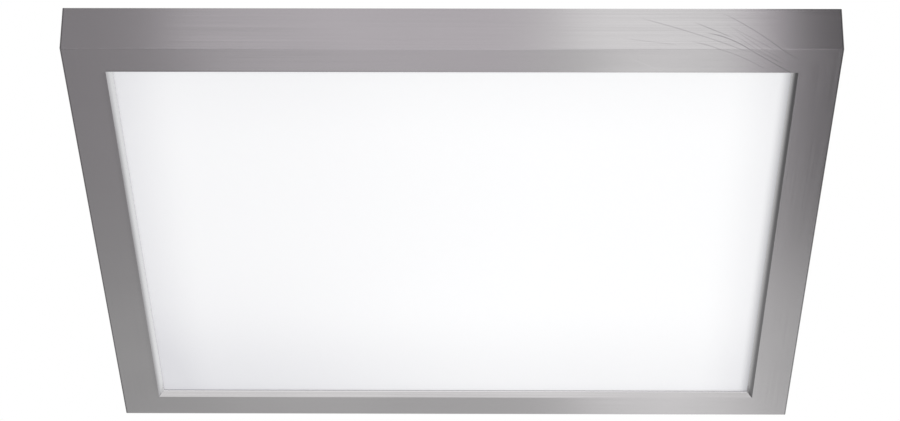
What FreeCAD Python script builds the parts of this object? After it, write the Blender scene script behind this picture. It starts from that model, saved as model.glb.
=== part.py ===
import FreeCAD, Part
import math
import os
import re
import Sketcher

from FreeCAD import Placement, Rotation, Vector

# A square flush mount ceiling light, in millimetres. The ceiling is the plane z = 0 and the light hangs
# below it. The hinges are at the near side, -Y, and the thumbscrews at the far side, +Y.
SIZES = {
    # Frame, folded from one sheet: wall, face, bevel and the ledge behind the bevel
    "light_side": 610,
    "frame_height": 38,
    "frame_sheet": 1,
    "face_width": 33,
    "bevel_run": 5,
    "bevel_rise": 4,
    "ledge_width": 14,
    "fold_radius": 0.8,
    "ceiling_gap": 2.6,
    # Hinges
    "hinge_inset": 105,
    "hinge_drop": 5.2,
    "knuckle_radius": 3.2,
    "knuckle_gap": 0.3,
    "leaf_length": 60,
    "leaf_sheet": 1,
    "moving_leaf_height": 20,
    "fixed_leaf_height": 12.3,
    "pin_radius": 2,
    "pin_fit": 0.05,
    "pin_head_radius": 2.9,
    "pin_head_height": 1.2,
    "rivet_radius": 1.5,
    "rivet_fit": 0.05,
    "rivet_head_radius": 2.6,
    "rivet_head_height": 0.8,
    "rivet_spacing": 36,
    "rivet_drop": 8.4,
    # Ceiling pan
    "pan_sheet": 1,
    "pan_flange": 18,
    "pan_side_gap": 2,
    "pan_far_gap": 0.5,
    "corner_relief": 4,
    "box_screw_spacing": 88.9,
    "box_slot_length": 24,
    "box_slot_width": 5,
    "joist_spacing": 406.4,
    "joist_hole_radius": 3,
    "bead_depth": 1.5,
    "bead_width": 14,
    "pan_bead_length": 170,
    "pan_bead_inset": 42,
    "boss_depth": 3,
    "cable_boss_radius": 22,
    "cable_hole_radius": 11,
    "bushing_wall": 4,
    "bushing_collar": 3,
    "bushing_collar_height": 1.5,
    "bushing_fit": 0.1,
    "ground_boss_radius": 8,
    "pan_ground_across": 70,
    "pan_ground_along": 40,
    # Thumbscrews, nuts and cages
    "thumb_inset": 105,
    "thumb_drop": 12,
    "thumb_radius": 2,
    "thumb_length": 10,
    "thumb_play": 0.1,
    "thumb_collar_radius": 5.5,
    "thumb_collar_height": 2,
    "thumb_head_radius": 8,
    "thumb_head_height": 4,
    "knurl_count": 24,
    "knurl_depth": 0.6,
    "wall_hole_gap": 0.25,
    "notch_width": 5,
    "nut_width": 7,
    "nut_height": 3.2,
    "nut_play": 0.2,
    "thread_fit": 0.05,
    "guide_gap": 0.15,
    "cage_sheet": 1,
    "cage_gap": 0.5,
    "cage_depth": 8,
    "cage_base_width": 18,
    "cage_base_height": 8,
    "cage_ear_height": 9,
    # Lit stack on the ledge
    "panel_overlap": 10,
    "diffuser_thickness": 2,
    "guide_thickness": 3,
    "reflector_thickness": 0.3,
    "foam_thickness": 2,
    "cover_sheet": 0.8,
    "cover_gap": 1.5,
    # LED boards, rails and spacers
    "led_gap": 0.5,
    "led_thickness": 0.7,
    "led_height": 1.4,
    "led_length": 4,
    "led_pitch": 18,
    "board_thickness": 1,
    "board_height": 6,
    "board_rise": 0.3,
    "board_run_out": 7,
    "rail_web": 1.8,
    "rail_flange": 1.6,
    "rail_reach": 9,
    "spacer_gap": 0.3,
    "spacer_web": 2,
    "spacer_end_gap": 5,
    "socket_width": 5,
    "socket_length": 6.7,
    "socket_stand": 4,
    "socket_play": 0.3,
    # Brackets and screws of the back cover
    "bracket_sheet": 1,
    "bracket_leg": 9,
    "bracket_tab": 13,
    "bracket_width": 20,
    "bracket_inset": 155,
    "cover_screw_inset": 7,
    "screw_radius": 1.5,
    "screw_fit": 0.1,
    "screw_head_radius": 2.8,
    "screw_head_height": 2,
    "screw_tip": 1.5,
    "cover_screw_tip": 4,
    "foam_relief_radius": 4,
    "cover_bead_margin": 94,
    "cover_bead_inset": 104,
    "cover_bead_pitch": 100,
    # Driver
    "driver_length": 220,
    "driver_width": 50,
    "driver_height": 20,
    "driver_middle": 85,
    "driver_wall": 1.5,
    "driver_corner": 2,
    "driver_base_sheet": 1.2,
    "driver_ear": 12,
    "driver_screw_spacing": 30,
    "driver_board_margin": 2,
    "driver_board_thickness": 1.6,
    "standoff_height": 3,
    "standoff_radius": 2.5,
    "header_length": 10,
    "header_width": 16,
    "header_height": 9,
    "choke_middle": -67,
    "choke_length": 14,
    "choke_width": 16,
    "input_can_middle": -38,
    "input_can_radius": 6.5,
    "transformer_middle": 13,
    "transformer_side": 26,
    "core_length": 16,
    "core_width": 34,
    "core_drop": 3.5,
    "output_can_middle": 59,
    "output_can_radius": 5,
    "output_can_step": 7,
    "component_gap": 1,
    "grommet_radius": 4.5,
    "grommet_lip": 1,
    "lead_height": 10.5,
    "lead_radius": 1.3,
    "lead_fit": 0.05,
    "lead_spacing": 3.6,
    "lead_clearance": 0.3,
    # Terminal block and grounding
    "terminal_reach": 80,
    "terminal_length": 20,
    "terminal_width": 32,
    "terminal_height": 14,
    "terminal_pitch": 10,
    "terminal_axis_height": 7,
    "clamp_width": 5,
    "clamp_length": 16,
    "clamp_fit": 0.1,
    "clamp_screw_radius": 1.2,
    "clamp_screw_head": 2,
    "clamp_screw_spacing": 8,
    "well_radius": 2.3,
    "ring_radius": 4.5,
    "ring_thickness": 0.8,
    "barrel_wall": 0.7,
    "barrel_length": 7,
    "ground_reach": 40,
    "ground_drop": 55,
    # Lead clips
    "clip_width": 8,
    "clip_length": 6,
    "clip_height": 4.6,
    "clip_gap": 0.1,
    "clip_mouth": 1.8,
    "clip_spacing": 90,
    "clip_inset": 20,
    "clip_to_socket": 12,
    "rear_run": 65,
}

document = FreeCAD.newDocument("ceiling_light")
sheet = document.addObject("Spreadsheet::Sheet", "sizes")
for row, (name, size) in enumerate(SIZES.items(), 1):
    sheet.set(f"A{row}", name)
    sheet.set(f"B{row}", str(size))
    sheet.setAlias(f"B{row}", name)
document.recompute()

NODES = []


def bound(formula):
    """The formula with each named size read from the sheet."""
    return re.sub(r"[a-z_]+", lambda word: f"sizes.{word[0]}" if word[0] in SIZES else word[0], formula)


def number(formula):
    """The value that a formula has now."""
    return float(sheet.evalExpression(bound(formula)))


def node(piece):
    """Marks an object as one sub-part, written under its label."""
    NODES.append(piece)
    return piece


def new_body(name, x="0", y="0", z="0", turn=0):
    """An empty body at a place worked out from the sizes, turned about Z."""
    body = document.addObject("PartDesign::Body", name)
    body.Placement = Placement(Vector(), Rotation(Vector(0, 0, 1), turn))
    for axis, formula in zip("xyz", (x, y, z)):
        body.setExpression(f"Placement.Base.{axis}", bound(formula))
    return body


def new_sketch(body, plane="XY_Plane", level="0"):
    """A sketch on one of the body's own planes, moved along the plane's normal.
    XY faces up, XZ faces the near side and YZ faces right."""
    sketch = body.newObject("Sketcher::SketchObject", f"{body.Name}_sketch")
    support = [feature for feature in body.Origin.OriginFeatures if feature.Role == plane]
    sketch.AttachmentSupport = [(support[0], "")]
    sketch.MapMode = "FlatFace"
    sketch.setExpression("AttachmentOffset.Base.z", bound(level))
    return sketch


def hold(sketch, kind, *geometry, formula):
    """A dimension of the sketch, bound to its formula."""
    index = sketch.addConstraint(Sketcher.Constraint(kind, *geometry, number(formula)))
    sketch.setExpression(f"Constraints[{index}]", bound(formula))


def outline(sketch, *corners):
    """A closed outline of straight lines through the corners."""
    points = [Vector(number(across), number(up), 0) for across, up in corners]
    lines = [
        sketch.addGeometry(Part.LineSegment(point, points[(index + 1) % len(points)]))
        for index, point in enumerate(points)
    ]
    for index, line in enumerate(lines):
        following = lines[(index + 1) % len(lines)]
        sketch.addConstraint(Sketcher.Constraint("Coincident", line, 2, following, 1))
    for line, (across, up) in zip(lines, corners):
        hold(sketch, "DistanceX", -1, 1, line, 1, formula=across)
        hold(sketch, "DistanceY", -1, 1, line, 1, formula=up)


def rectangle(sketch, left, right, low, high):
    """A rectangle between four limits."""
    outline(sketch, (left, low), (right, low), (right, high), (left, high))


def disc(sketch, across, up, radius):
    """A circle."""
    circle = Part.Circle(Vector(number(across), number(up), 0), Vector(0, 0, 1), number(radius))
    index = sketch.addGeometry(circle)
    hold(sketch, "Radius", index, formula=radius)
    hold(sketch, "DistanceX", -1, 1, index, 3, formula=across)
    hold(sketch, "DistanceY", -1, 1, index, 3, formula=up)


def polygon(sketch, across, up, radius, sides=6):
    """A regular outline with its corners on a circle and a flat at each side. It is the plainer stand-in
    for a circle on small pieces."""
    turns = [f"{(index + 0.5) * 360 / sides} deg" for index in range(sides)]
    outline(
        sketch,
        *[(f"{across} + ({radius}) * cos({turn})", f"{up} + ({radius}) * sin({turn})") for turn in turns],
    )


def hole(sketch, across, up, radius, sides=6):
    """A regular outline with its flats on a circle, which lets a round piece of that radius through."""
    polygon(sketch, across, up, f"({radius}) / cos({180 / sides} deg)", sides)


def bead_outline(sketch, across, up, length, width, upright=False):
    """A long outline with eight corners, for a pressed bead or a notch."""
    half = f"({width}) / 2"
    corner = f"{half} * tan(22.5 deg)"
    reach = f"({length}) / 2"
    run = f"({reach} - {half} + {corner})"
    ring = [
        (reach, f"-{corner}"), (reach, corner), (run, half), (f"-{run}", half),
        (f"-{reach}", corner), (f"-{reach}", f"-{corner}"), (f"-{run}", f"-{half}"), (run, f"-{half}"),
    ]
    if upright:
        ring = [(f"-({y})", x) for x, y in ring]
    outline(sketch, *[(f"{across} + ({x})", f"{up} + ({y})") for x, y in ring])


def slot(sketch, across, up, length, width):
    """A level slot with round ends, centred on a point."""
    radius = number(width) / 2
    reach = number(length) / 2 - radius
    middle = Vector(number(across), number(up), 0)
    along = Vector(1, 0, 0)
    side = Vector(0, 1, 0)
    start = -math.pi / 2
    ends = (middle + along * reach, middle - along * reach)
    arcs = [
        sketch.addGeometry(
            Part.ArcOfCircle(Part.Circle(end, Vector(0, 0, 1), radius), start + half, start + half + math.pi)
        )
        for end, half in zip(ends, (0, math.pi))
    ]
    sides = [
        sketch.addGeometry(Part.LineSegment(ends[0] + side * radius, ends[1] + side * radius)),
        sketch.addGeometry(Part.LineSegment(ends[1] - side * radius, ends[0] - side * radius)),
    ]
    for arc, after, before in ((arcs[0], sides[0], sides[1]), (arcs[1], sides[1], sides[0])):
        sketch.addConstraint(Sketcher.Constraint("Tangent", arc, 2, after, 1))
        sketch.addConstraint(Sketcher.Constraint("Tangent", before, 2, arc, 1))
    sketch.addConstraint(Sketcher.Constraint("Equal", arcs[0], arcs[1]))
    hold(sketch, "Radius", arcs[0], formula=f"{width} / 2")
    for arc, sign in zip(arcs, "+-"):
        hold(sketch, "DistanceX", -1, 1, arc, 3, formula=f"{across} {sign} ({length} - {width}) / 2")
        hold(sketch, "DistanceY", -1, 1, arc, 3, formula=up)


def pad(body, sketch, length, back=False, both=False):
    """Material along the sketch's normal, against it, or half to each side."""
    feature = body.newObject("PartDesign::Pad", f"{body.Name}_pad")
    feature.Profile = sketch
    feature.SideType = "Symmetric" if both else "One side"
    feature.Reversed = back
    feature.setExpression("Length", bound(length))
    document.recompute()
    return feature


def pocket(body, sketch, depth=None, back=False, both=False):
    """A cut against the sketch's normal, along it, or to both sides. With no depth it goes right through."""
    before = body.Shape.Volume
    feature = body.newObject("PartDesign::Pocket", f"{body.Name}_pocket")
    feature.Profile = sketch
    feature.SideType = "Symmetric" if both else "One side"
    feature.Reversed = back
    if depth is None:
        feature.Type = "ThroughAll"
    else:
        feature.setExpression("Length", bound(depth))
    document.recompute()
    if not body.Shape.Volume < before:
        raise RuntimeError(f"{feature.Name} cuts nothing")
    return feature


def fillet(body, radius, chosen):
    """Rounds the edges that the test chooses."""
    solid = body.Tip
    edges = [f"Edge{index}" for index, edge in enumerate(solid.Shape.Edges, 1) if chosen(edge)]
    feature = body.newObject("PartDesign::Fillet", f"{body.Name}_fillet")
    feature.Base = (solid, edges)
    feature.setExpression("Radius", bound(radius))
    document.recompute()
    return feature


def block(name, lows, spans):
    """A plain rectangular piece from its lowest corner and its spans."""
    piece = document.addObject("Part::Box", name)
    for property_name, formula in zip(("Length", "Width", "Height"), spans):
        piece.setExpression(property_name, bound(formula))
    for axis, formula in zip("xyz", lows):
        piece.setExpression(f"Placement.Base.{axis}", bound(formula))
    return piece


def copies(name, piece, places):
    """One sub-part made of equal pieces, each a solid by itself. A place is x, y, z and a turn about Z."""
    links = []
    for index, (x, y, z, turn) in enumerate(places, 1):
        link = document.addObject("App::Link", f"{name}_{index}")
        link.LinkedObject = piece
        link.Placement = Placement(Vector(), Rotation(Vector(0, 0, 1), turn))
        for axis, formula in zip("xyz", (x, y, z)):
            link.setExpression(f"Placement.Base.{axis}", bound(formula))
        links.append(link)
    group = document.addObject("Part::Compound", name)
    group.Links = links
    return node(group)


# Trim frame: one sheet folded round the panel, with welded and ground corners. Seen from outside it has a
# side wall, a wide face and a narrow bevel, and behind the bevel the sheet returns as a ledge.
HALF = "light_side / 2"
WALL = f"({HALF} - frame_sheet)"
FRAME_TOP = "(-ceiling_gap)"
FRAME_LOW = "(-ceiling_gap - frame_height)"
LEDGE_TOP = f"({FRAME_LOW} + bevel_rise + frame_sheet)"
LIP = f"({HALF} - face_width - bevel_run)"
LEDGE_EDGE = f"({LIP} + ledge_width)"
BEVEL_LENGTH = "sqrt(bevel_run * bevel_run + bevel_rise * bevel_rise)"
HINGE_X = f"({HALF} - hinge_inset)"
THUMB_X = f"({HALF} - thumb_inset)"
INNER_FOLD = f"({HALF} - face_width + frame_sheet * ({BEVEL_LENGTH} - bevel_run) / bevel_rise)"
INNER_BEVEL_END = f"({INNER_FOLD} - (bevel_rise - frame_sheet) * bevel_run / bevel_rise)"


def trim_frame():
    body = new_body("trim_frame")
    path = new_sketch(body)
    rectangle(path, f"-{HALF}", HALF, f"-{HALF}", HALF)
    profile = new_sketch(body, "XZ_Plane")
    outline(
        profile,
        (f"-{HALF}", FRAME_TOP),
        (f"-{HALF}", FRAME_LOW),
        (f"-{HALF} + face_width", FRAME_LOW),
        (f"-{LIP}", f"{FRAME_LOW} + bevel_rise"),
        (f"-{LIP}", LEDGE_TOP),
        (f"-{LEDGE_EDGE}", LEDGE_TOP),
        (f"-{LEDGE_EDGE}", f"{LEDGE_TOP} - frame_sheet"),
        (f"-{INNER_BEVEL_END}", f"{LEDGE_TOP} - frame_sheet"),
        (f"-{INNER_FOLD}", f"{FRAME_LOW} + frame_sheet"),
        (f"-{WALL}", f"{FRAME_LOW} + frame_sheet"),
        (f"-{WALL}", FRAME_TOP),
    )
    pipe = body.newObject("PartDesign::AdditivePipe", "folded_sheet")
    pipe.Profile = profile
    pipe.Spine = path
    pipe.Transition = "Right corner"
    document.recompute()
    half = number(HALF)
    low = number(FRAME_LOW)

    def is_outer_fold(edge):
        box = edge.BoundBox
        reach = max(abs(box.XMin), abs(box.XMax)), max(abs(box.YMin), abs(box.YMax))
        bottom = abs(box.ZMax - low) < 0.01 and max(reach) > half - 0.01
        corner = min(reach) > half - 0.01 and box.ZLength > 1
        return (bottom and abs(max(box.XLength, box.YLength) - 2 * half) < 0.01) or corner

    fillet(body, "fold_radius", is_outer_fold)
    holes = new_sketch(body, "XZ_Plane")
    for side in "-+":
        hole(holes, f"{side}{THUMB_X}", "-thumb_drop", "thumb_radius + wall_hole_gap", 12)
    pocket(body, holes)
    return node(body)


trim_frame()

# Ceiling pan: a shallow folded tray that is screwed to the ceiling or to a junction box. Its near flange
# carries the hinges and its far flange has open notches for the thumbscrews. Pressed beads stiffen it, and
# the cable bushing and the ground screw sit in pressed bosses, so nothing stands above the ceiling plane.
HINGE_Y = f"(knuckle_radius - {WALL})"
PAN_NEAR = f"({HINGE_Y} + knuckle_radius)"
PAN_FAR = f"({WALL} - pan_far_gap)"
PAN_SIDE = f"({WALL} - pan_side_gap)"
PAN_BEAD_MIDDLE = f"({PAN_SIDE} - pan_bead_inset - pan_bead_length / 2)"
BUSHING_SIDES = 12


def pressed(body, depth, shapes):
    """Presses shapes down into the pan. Each is drawn by a function that takes the sketch and an inset."""
    below = new_sketch(body, level="-pan_sheet")
    for shape in shapes:
        shape(below, "0")
    pad(body, below, depth, back=True)
    above = new_sketch(body)
    for shape in shapes:
        shape(above, "pan_sheet")
    pocket(body, above, depth)


def bead(across, up, upright):
    """A pressed bead."""

    def draw(sketch, inset):
        length = f"pan_bead_length - 2 * {inset}"
        bead_outline(sketch, across, up, length, f"bead_width - 2 * {inset}", upright)

    return draw


def boss(across, up, radius, sides):
    """A pressed boss."""

    def draw(sketch, inset):
        polygon(sketch, across, up, f"{radius} - {inset}", sides)

    return draw


def ceiling_pan():
    body = new_body("ceiling_pan")
    tray = new_sketch(body)
    rectangle(tray, f"-{PAN_SIDE}", PAN_SIDE, PAN_NEAR, PAN_FAR)
    pad(body, tray, "pan_flange", back=True)
    hollow = new_sketch(body, level="-pan_sheet")
    rectangle(
        hollow,
        f"-{PAN_SIDE} + pan_sheet",
        f"{PAN_SIDE} - pan_sheet",
        f"{PAN_NEAR} + pan_sheet",
        f"{PAN_FAR} - pan_sheet",
    )
    pocket(body, hollow)
    reliefs = new_sketch(body, level="-pan_sheet")
    for left, right in ((f"-{PAN_SIDE}", f"-{PAN_SIDE} + corner_relief"),
                        (f"{PAN_SIDE} - corner_relief", PAN_SIDE)):
        rectangle(reliefs, left, right, PAN_NEAR, f"{PAN_NEAR} + corner_relief")
        rectangle(reliefs, left, right, f"{PAN_FAR} - corner_relief", PAN_FAR)
    pocket(body, reliefs)
    beads = [bead(f"{side}{PAN_BEAD_MIDDLE}", "0", False) for side in "-+"]
    beads += [bead("0", f"{side}{PAN_BEAD_MIDDLE}", True) for side in "-+"]
    pressed(body, "bead_depth", beads)
    bosses = [boss("0", "0", "cable_boss_radius", 18)]
    bosses += [boss("pan_ground_across", "pan_ground_along", "ground_boss_radius", 10)]
    pressed(body, "boss_depth", bosses)
    boss_holes = new_sketch(body)
    hole(boss_holes, "0", "0", "cable_hole_radius", BUSHING_SIDES)
    hole(boss_holes, "pan_ground_across", "pan_ground_along", "thumb_radius + screw_fit")
    pocket(body, boss_holes)
    holes = new_sketch(body)
    for side in "-+":
        slot(holes, f"{side}box_screw_spacing / 2", "0", "box_slot_length", "box_slot_width")
        for end in "-+":
            disc(holes, f"{side}joist_spacing / 2", f"{end}joist_spacing / 2", "joist_hole_radius")
    pocket(body, holes)
    notches = new_sketch(body, "XZ_Plane")
    rivet_holes = new_sketch(body, "XZ_Plane")
    for side in "-+":
        middle = f"{side}{THUMB_X}"
        length = "pan_flange + notch_width"
        bead_outline(notches, middle, "-thumb_drop - pan_flange / 2", length, "notch_width", upright=True)
        for end in "-+":
            across = f"{side}{HINGE_X} {end} rivet_spacing / 2"
            hole(rivet_holes, across, "-hinge_drop - rivet_drop", "rivet_radius + rivet_fit")
    pocket(body, notches)
    pocket(body, rivet_holes, back=True)
    return node(body)


def cable_bushing():
    """A soft snap-in bushing. Its collars grip the bottom of the boss."""
    body = new_body("cable_bushing", z="-boss_depth")
    collar = "cable_hole_radius + bushing_collar"
    upper = new_sketch(body)
    polygon(upper, "0", "0", collar, BUSHING_SIDES)
    pad(body, upper, "bushing_collar_height")
    neck = new_sketch(body)
    polygon(neck, "0", "0", "cable_hole_radius - bushing_fit", BUSHING_SIDES)
    pad(body, neck, "pan_sheet", back=True)
    lower = new_sketch(body, level="-pan_sheet")
    polygon(lower, "0", "0", collar, BUSHING_SIDES)
    pad(body, lower, "2 * bushing_collar_height", back=True)
    bore = new_sketch(body, level="bushing_collar_height")
    disc(bore, "0", "0", "cable_hole_radius - bushing_wall")
    pocket(body, bore)
    return node(body)


def screw(name, radius, length, head_radius, head_height, sides=10):
    """A screw whose head stands on z = 0. With six sides it has a hexagonal head."""
    body = new_body(name)
    shank = new_sketch(body)
    polygon(shank, "0", "0", radius)
    pad(body, shank, length, back=True)
    head = new_sketch(body)
    polygon(head, "0", "0", head_radius, sides)
    pad(body, head, head_height)
    return body


def pan_ground_screw():
    """The green screw for the building's ground wire, driven up into its boss."""
    body = screw(
        "pan_ground_screw", "thumb_radius", "pan_sheet + boss_depth - bushing_fit", "ring_radius",
        "bushing_collar_height", sides=6,
    )
    for axis, formula in zip("xyz", ("pan_ground_across", "pan_ground_along", "-boss_depth - pan_sheet")):
        body.setExpression(f"Placement.Base.{axis}", bound(formula))
    body.Placement = Placement(body.Placement.Base, Rotation(Vector(1, 0, 0), 180))
    return node(body)


ceiling_pan()
cable_bushing()
pan_ground_screw()

# Hinges: two five-knuckle butt hinges on one line, hidden between the frame's near wall and the pan's near
# flange. Each has a fixed leaf riveted to the flange, a moving leaf spot-welded to the wall, and a pin.
# A leaf is drawn about the pin's axis.
KNUCKLES = 5
HINGE_SIDES = 12


def hinge_leaf(name, side, moving):
    body = new_body(name, f"{side}{HINGE_X}", HINGE_Y, "-hinge_drop")
    plate = new_sketch(body, "YZ_Plane")
    if moving:
        rectangle(plate, "-knuckle_radius", "-knuckle_radius + leaf_sheet", "-moving_leaf_height", "0")
    else:
        rectangle(plate, "knuckle_radius - leaf_sheet", "knuckle_radius", "-fixed_leaf_height", "0")
    pad(body, plate, "leaf_length", both=True)
    barrel = new_sketch(body, "YZ_Plane")
    polygon(barrel, "0", "0", "knuckle_radius", HINGE_SIDES)
    pad(body, barrel, "leaf_length", both=True)
    bore = new_sketch(body, "YZ_Plane")
    hole(bore, "0", "0", "pin_radius + pin_fit", HINGE_SIDES)
    pocket(body, bore, both=True)
    gaps = new_sketch(body, "XZ_Plane")
    for knuckle in range(KNUCKLES):
        if (knuckle % 2 == 0) == moving:
            start = f"leaf_length * ({knuckle} / {KNUCKLES} - 0.5) - knuckle_gap / 2"
            end = f"leaf_length * ({knuckle + 1} / {KNUCKLES} - 0.5) + knuckle_gap / 2"
            rectangle(gaps, start, end, "-knuckle_radius - knuckle_gap", "knuckle_radius + knuckle_gap")
    pocket(body, gaps, both=True)
    if not moving:
        holes = new_sketch(body, "XZ_Plane")
        for end in "-+":
            hole(holes, f"{end}rivet_spacing / 2", "-rivet_drop", "rivet_radius + rivet_fit")
        pocket(body, holes, both=True)
    return node(body)


def hinge_pin(name, side):
    """A pin with a head at its outer end."""
    body = new_body(name, f"{side}{HINGE_X}", HINGE_Y, "-hinge_drop")
    shank = new_sketch(body, "YZ_Plane")
    disc(shank, "0", "0", "pin_radius")
    pad(body, shank, "leaf_length + 2 * pin_head_height", both=True)
    head = new_sketch(body, "YZ_Plane", f"{side}leaf_length / 2")
    polygon(head, "0", "0", "pin_head_radius", HINGE_SIDES)
    pad(body, head, "pin_head_height", back=side == "-")
    return node(body)


def hinge_rivets():
    """Rivets through leaf and flange, drawn about the plane where the two meet."""
    rivet = new_body("hinge_rivet")
    shank = new_sketch(rivet, "XZ_Plane", "leaf_sheet")
    polygon(shank, "0", "0", "rivet_radius")
    pad(rivet, shank, "leaf_sheet + pan_sheet", back=True)
    for face, back in (("leaf_sheet", False), ("-pan_sheet", True)):
        head = new_sketch(rivet, "XZ_Plane", face)
        polygon(head, "0", "0", "rivet_head_radius")
        pad(rivet, head, "rivet_head_height", back=back)
    places = [
        (f"{side}{HINGE_X} {end} rivet_spacing / 2", PAN_NEAR, "-hinge_drop - rivet_drop", 0)
        for side in "-+"
        for end in "-+"
    ]
    return copies("hinge_rivets", rivet, places)


for side, sign in (("left", "-"), ("right", "+")):
    hinge_leaf(f"{side}_hinge_fixed_leaf", sign, moving=False)
    hinge_leaf(f"{side}_hinge_moving_leaf", sign, moving=True)
    hinge_pin(f"{side}_hinge_pin", sign)
hinge_rivets()

# Thumbscrews: two knurled screws through the far wall. Each clamps the wall to the pan's far flange with a
# square nut behind the flange, and a cage welded to the wall keeps the nut from turning. The pieces are
# drawn about the screw's axis, from the wall's outer face.


def thumbscrew(name, side):
    body = new_body(name, f"{side}{THUMB_X}", HALF, "-thumb_drop")
    shank = new_sketch(body, "XZ_Plane", "thumb_length - thumb_play")
    polygon(shank, "0", "0", "thumb_radius", 12)
    pad(body, shank, "thumb_length", back=True)
    collar = new_sketch(body, "XZ_Plane", "-thumb_play")
    disc(collar, "0", "0", "thumb_collar_radius")
    pad(body, collar, "thumb_collar_height", back=True)
    head = new_sketch(body, "XZ_Plane", "-thumb_play - thumb_collar_height")
    knurls = round(number("knurl_count"))
    corners = []
    for step in range(2 * knurls):
        radius = "thumb_head_radius" if step % 2 else "(thumb_head_radius - knurl_depth)"
        turn = f"{step * 180 / knurls} deg"
        corners.append((f"{radius} * cos({turn})", f"{radius} * sin({turn})"))
    outline(head, *corners)
    pad(body, head, "thumb_head_height", back=True)
    return node(body)


def clamp_nut(name, side):
    body = new_body(name, f"{side}{THUMB_X}", f"{PAN_FAR} - pan_sheet - nut_play", "-thumb_drop")
    section = new_sketch(body, "XZ_Plane")
    rectangle(section, "-nut_width / 2", "nut_width / 2", "-nut_width / 2", "nut_width / 2")
    pad(body, section, "nut_height")
    bore = new_sketch(body, "XZ_Plane")
    hole(bore, "0", "0", "thumb_radius + thread_fit", 12)
    pocket(body, bore, both=True)
    return node(body)


def nut_cage(name, side):
    """A folded strip: a plate on the wall, a floor under the pan's flange and two ears beside the nut."""
    body = new_body(name, f"{side}{THUMB_X}", WALL, "-thumb_drop")
    floor_top = "(thumb_drop - pan_flange - cage_gap)"
    floor_low = f"({floor_top} - cage_sheet)"
    inner = "(nut_width / 2 + guide_gap)"
    outer = f"({inner} + cage_sheet)"
    ear_start = "(pan_far_gap + pan_sheet + cage_gap)"
    plate = new_sketch(body, "XZ_Plane")
    rectangle(plate, "-cage_base_width / 2", "cage_base_width / 2", f"{floor_top} - cage_base_height", floor_top)
    pad(body, plate, "cage_sheet")
    floor = new_sketch(body, "XZ_Plane")
    rectangle(floor, f"-{outer}", outer, floor_low, floor_top)
    pad(body, floor, "cage_depth")
    ears = new_sketch(body, "XZ_Plane", ear_start)
    rectangle(ears, f"-{outer}", f"-{inner}", floor_low, f"{floor_top} + cage_ear_height")
    rectangle(ears, inner, outer, floor_low, f"{floor_top} + cage_ear_height")
    pad(body, ears, f"cage_depth - {ear_start}")
    return node(body)


for side, sign in (("left", "-"), ("right", "+")):
    thumbscrew(f"{side}_thumbscrew", sign)
    clamp_nut(f"{side}_clamp_nut", sign)
    nut_cage(f"{side}_nut_cage", sign)

# Lit stack: the diffuser lies on the frame's ledge, then the light guide, the reflector and a foam pad,
# pressed down by the back cover.
PANEL = f"({LIP} + panel_overlap)"
GUIDE_LOW = f"({LEDGE_TOP} + diffuser_thickness)"
REFLECTOR_LOW = f"({GUIDE_LOW} + guide_thickness)"
FOAM_LOW = f"({REFLECTOR_LOW} + reflector_thickness)"
COVER_LOW = f"({FOAM_LOW} + foam_thickness)"
COVER_TOP = f"({COVER_LOW} + cover_sheet)"
SCREW_LINE = f"({WALL} - cover_screw_inset)"
BRACKET_LINE = f"({HALF} - bracket_inset)"
DRIVER_END = "(driver_length / 2)"
TERMINAL_X = f"(-{DRIVER_END} - terminal_reach)"
GROUND_X = f"(-{DRIVER_END} - ground_reach)"
GROUND_Y = "(driver_middle - ground_drop)"
SOCKET_MIDDLE = f"({PANEL} + led_gap + led_thickness - socket_width / 2)"
SOCKET_START = f"({PANEL} + socket_play)"


def cover_fixings():
    """Where screws go through the middle of the back cover: the driver's, then the terminal block's and the
    ground screw."""
    ends = [f"{side}({DRIVER_END} + driver_ear / 2)" for side in "-+"]
    driver = [(end, f"driver_middle {side} driver_screw_spacing / 2") for end in ends for side in "-+"]
    wiring = [(TERMINAL_X, f"driver_middle {side} terminal_pitch / 2") for side in "-+"]
    wiring += [(GROUND_X, GROUND_Y)]
    return driver, wiring


def cut_fixings(body, radius, level):
    """Cuts a hole for each of those screws."""
    for places in cover_fixings():
        holes = new_sketch(body, level=level)
        for across, up in places:
            hole(holes, across, up, radius)
        pocket(body, holes)


def cover_screw_places():
    """Two screws along each side of the back cover, with the turn of the bracket below each."""
    places = []
    for offset in (f"-{BRACKET_LINE}", BRACKET_LINE):
        places += [(SCREW_LINE, offset, 0), (offset, SCREW_LINE, 90)]
        places += [(f"-{SCREW_LINE}", offset, 180), (offset, f"-{SCREW_LINE}", 270)]
    return places


def square_sheet(name, half, low, thickness):
    body = new_body(name, z=low)
    sketch = new_sketch(body)
    rectangle(sketch, f"-{half}", half, f"-{half}", half)
    pad(body, sketch, thickness)
    return body


def foam_pad():
    """The foam has a relief hole under each screw of the back cover's middle."""
    body = square_sheet("foam_pad", PANEL, FOAM_LOW, "foam_thickness")
    cut_fixings(body, "foam_relief_radius", "foam_thickness")
    return node(body)


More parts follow.
